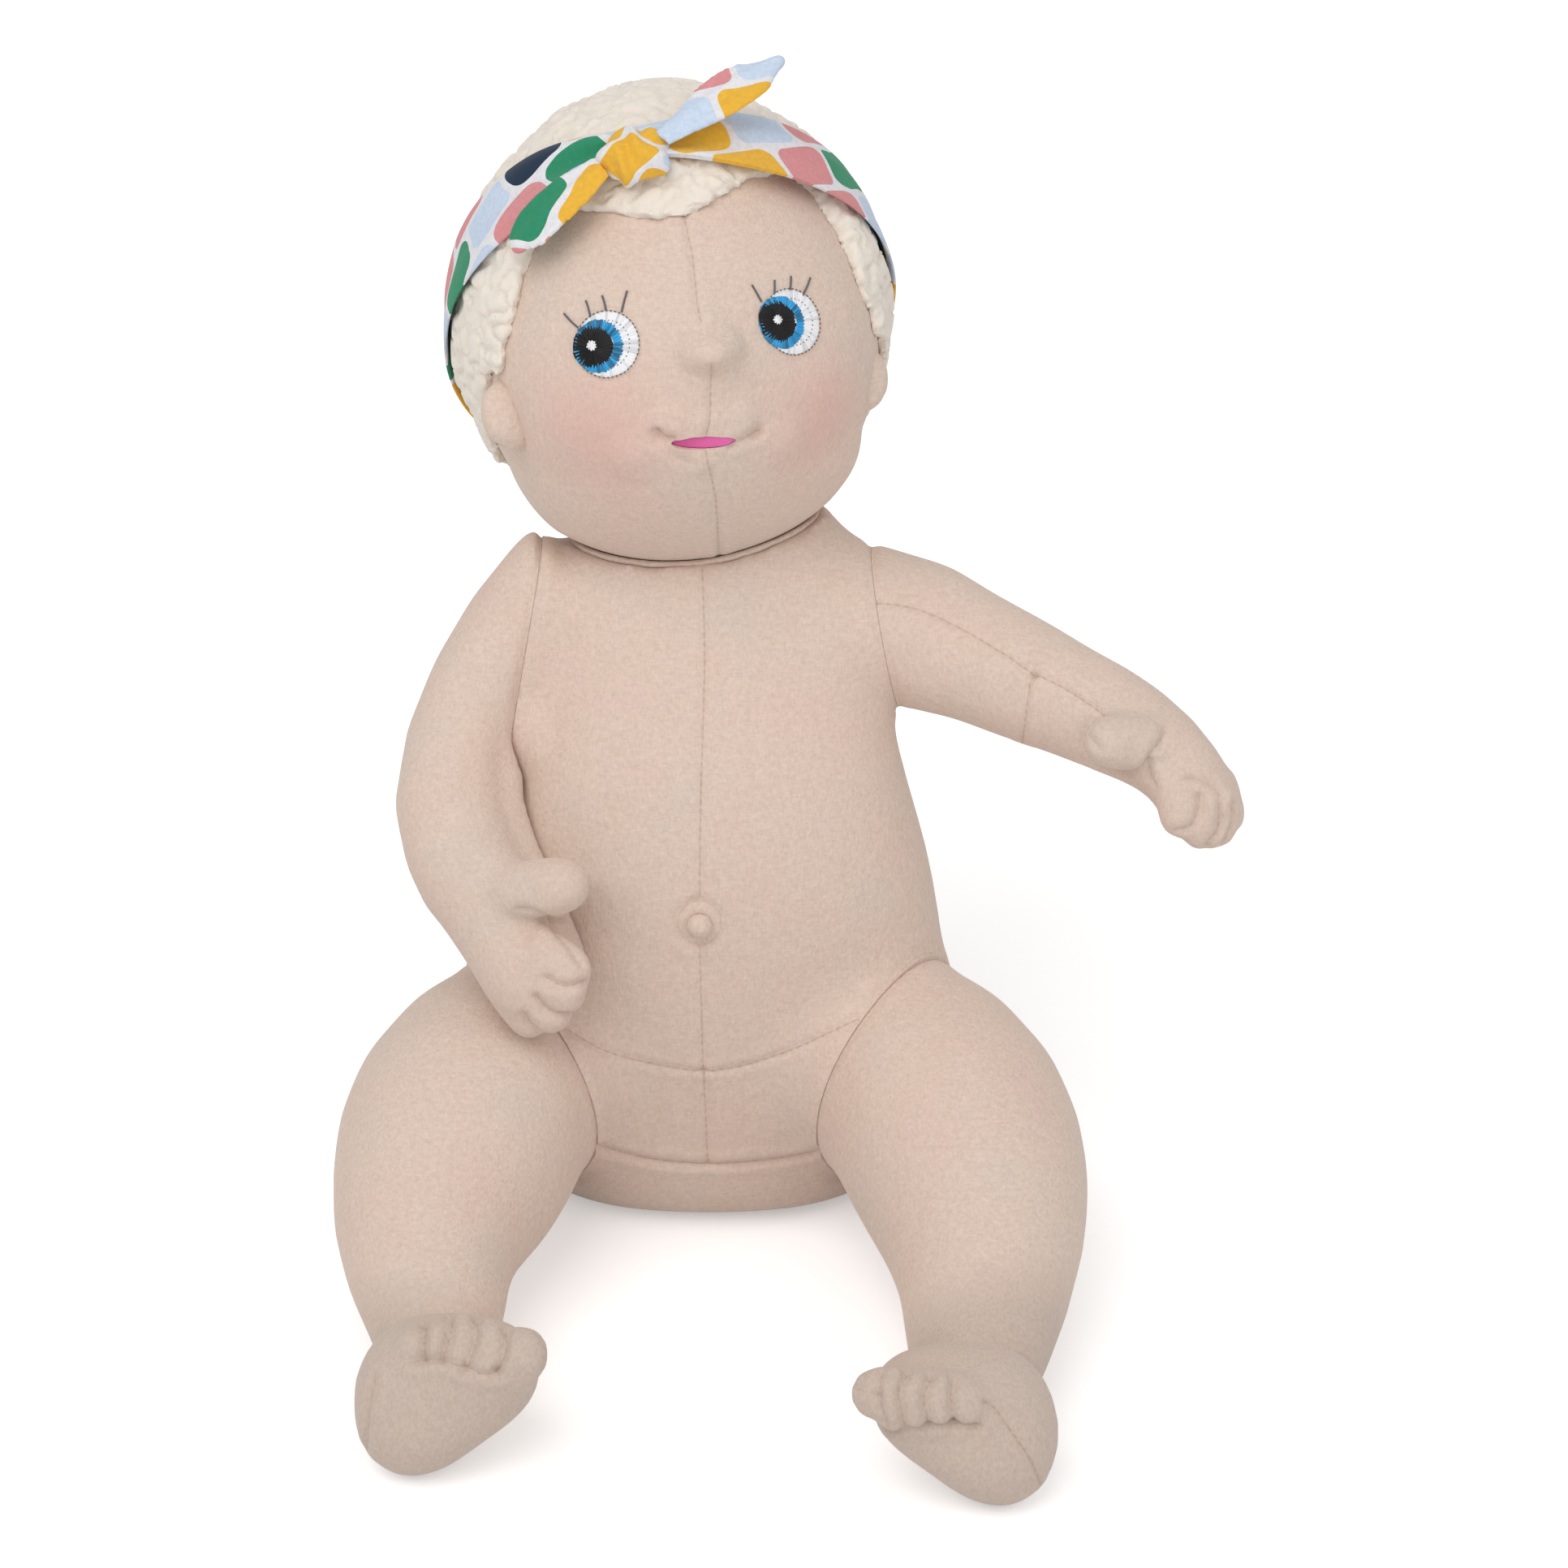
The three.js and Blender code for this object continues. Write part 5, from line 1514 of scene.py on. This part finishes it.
# Knot, with the folds of the cloth that is wound round it
KNOT_VOXEL = 0.8 * MM
KNOT_PASSES = 10
KNOT_SLANT = (0.75, 0.45)
KNOT_FOLDS = 0.95
KNOT_SWAY = 1.5 * MM
KNOT_SWAYS = 500
KNOT_FOLD_HEIGHT = 0.8 * MM
KNOT_PRINT_SCALE = (1.3, 1.2)
KNOT_PRINT_START = (310 * MM, 17 * MM)
knot = stuffed("headband_knot_cloth", [nodes["headband_knot"]], KNOT_VOXEL, KNOT_PASSES)
knot_points = places(knot.data)
knot_across = Vector((0, 0, 1)).cross(knot_line).normalized()
local = knot_points - knot_points.mean(axis=0)
u, v, w = (local @ np.array(axis) for axis in (knot_across, knot_line.cross(knot_across), knot_line))
swayed = v * KNOT_SLANT[0] + u * KNOT_SLANT[1] + KNOT_SWAY * np.sin(u * KNOT_SWAYS)
wrap = np.sin(swayed / MM * KNOT_FOLDS) * KNOT_FOLD_HEIGHT
set_places(knot.data, knot_points + normals(knot.data) * wrap[:, None])
along_cloth = v * KNOT_PRINT_SCALE[0] + w + KNOT_PRINT_START[0]
set_cloth(knot.data, np.stack([along_cloth, u * KNOT_PRINT_SCALE[1] + KNOT_PRINT_START[1], u * 0], axis=1))
finish_piece(knot, "headband_body", "printed_cotton", ["headband_knot"])

# Tails
TAIL_VOXEL = 0.7 * MM
TAIL_PASSES = 10
TAIL_RIPPLES = 1.1
TAIL_RIPPLE_START = 0.6
TAIL_RIPPLE_HEIGHT = 0.25 * MM
TAIL_PRINT_SCALE = 0.9
TAIL_PRINT_SIDE = 6 * MM
TAIL_PRINT_STARTS = {"left": 21 * MM, "right": 93 * MM}
for side, start in TAIL_PRINT_STARTS.items():
    tail = stuffed(f"headband_{side}_tail_cloth", [nodes[f"headband_{side}_tail"]], TAIL_VOXEL, TAIL_PASSES)
    tail_points = places(tail.data)
    local = tail_points - tail_points.mean(axis=0)
    _, directions = np.linalg.eigh(np.cov(local.T))
    u, v = local @ directions[:, 2], local @ directions[:, 1]
    ripple = np.sin(v / MM * TAIL_RIPPLES + TAIL_RIPPLE_START) * TAIL_RIPPLE_HEIGHT
    set_places(tail.data, tail_points + normals(tail.data) * ripple[:, None])
    set_cloth(tail.data, np.stack([u + start, v * TAIL_PRINT_SCALE + TAIL_PRINT_SIDE, u * 0], axis=1))
    finish_piece(tail, "headband_body", "printed_cotton", [f"headband_{side}_tail"])

# Floor and light. The camera sees both a little brighter than they light the doll, so that they look white.
FLOOR_HALF = 3
FLOOR_COLOUR = (0.9, 0.9, 0.9)
FLOOR_LOOK = {"Roughness": 0.9}
FLOOR_GLOW = 0.36
WORLD_LIGHT = 0.55
LAMP_TARGET = Vector((0, -0.03, 0.14))
# Each lamp's place, size and power
LAMPS = {"key": ((-0.6, -1.0, 1.85), 1.6, 20), "fill": ((1.1, -1.1, 1.2), 1.2, 5)}


def seen_ray(tree):
    """1 for the rays that show a surface to the camera, also in a mirror or through glass."""
    path = node(tree, "ShaderNodeLightPath")
    mirrored = worked(tree, "MAXIMUM", path.outputs["Is Glossy Ray"], path.outputs["Is Transmission Ray"])
    return worked(tree, "MAXIMUM", path.outputs["Is Camera Ray"], mirrored)


floor_corners = [(x * FLOOR_HALF, y * FLOOR_HALF, 0) for x, y in ((-1, -1), (1, -1), (1, 1), (-1, 1))]
floor = new_object("floor", mesh_from("floor", floor_corners, [(0, 1, 2, 3)]))
floor_finish = material("floor", FLOOR_COLOUR, FLOOR_LOOK)
tree = floor_finish.node_tree
glow = node(tree, "ShaderNodeEmission", {"Strength": worked(tree, "MULTIPLY", seen_ray(tree), FLOOR_GLOW)})
shaders = {0: tree.nodes["Principled BSDF"].outputs["BSDF"], 1: glow.outputs["Emission"]}
both = node(tree, "ShaderNodeAddShader", shaders).outputs["Shader"]
fill_inputs(tree, tree.nodes["Material Output"], {"Surface": both})
floor.data.materials.append(floor_finish)

world = bpy.data.worlds.new("studio")
scene.world = world
world.use_nodes = True
tree = world.node_tree
brighter = worked(tree, "MULTIPLY_ADD", seen_ray(tree), 1 - WORLD_LIGHT, WORLD_LIGHT)
fill_inputs(tree, tree.nodes["Background"], {"Color": WHITE, "Strength": brighter})

for name, (place, size, power) in LAMPS.items():
    light = bpy.data.objects.new(name, bpy.data.lights.new(name, "AREA"))
    light.data.size = size
    light.data.energy = power
    light.location = place
    light.rotation_euler = (LAMP_TARGET - Vector(place)).to_track_quat("-Z", "Y").to_euler()
    scene.collection.objects.link(light)

scene.view_settings.view_transform = "Standard"
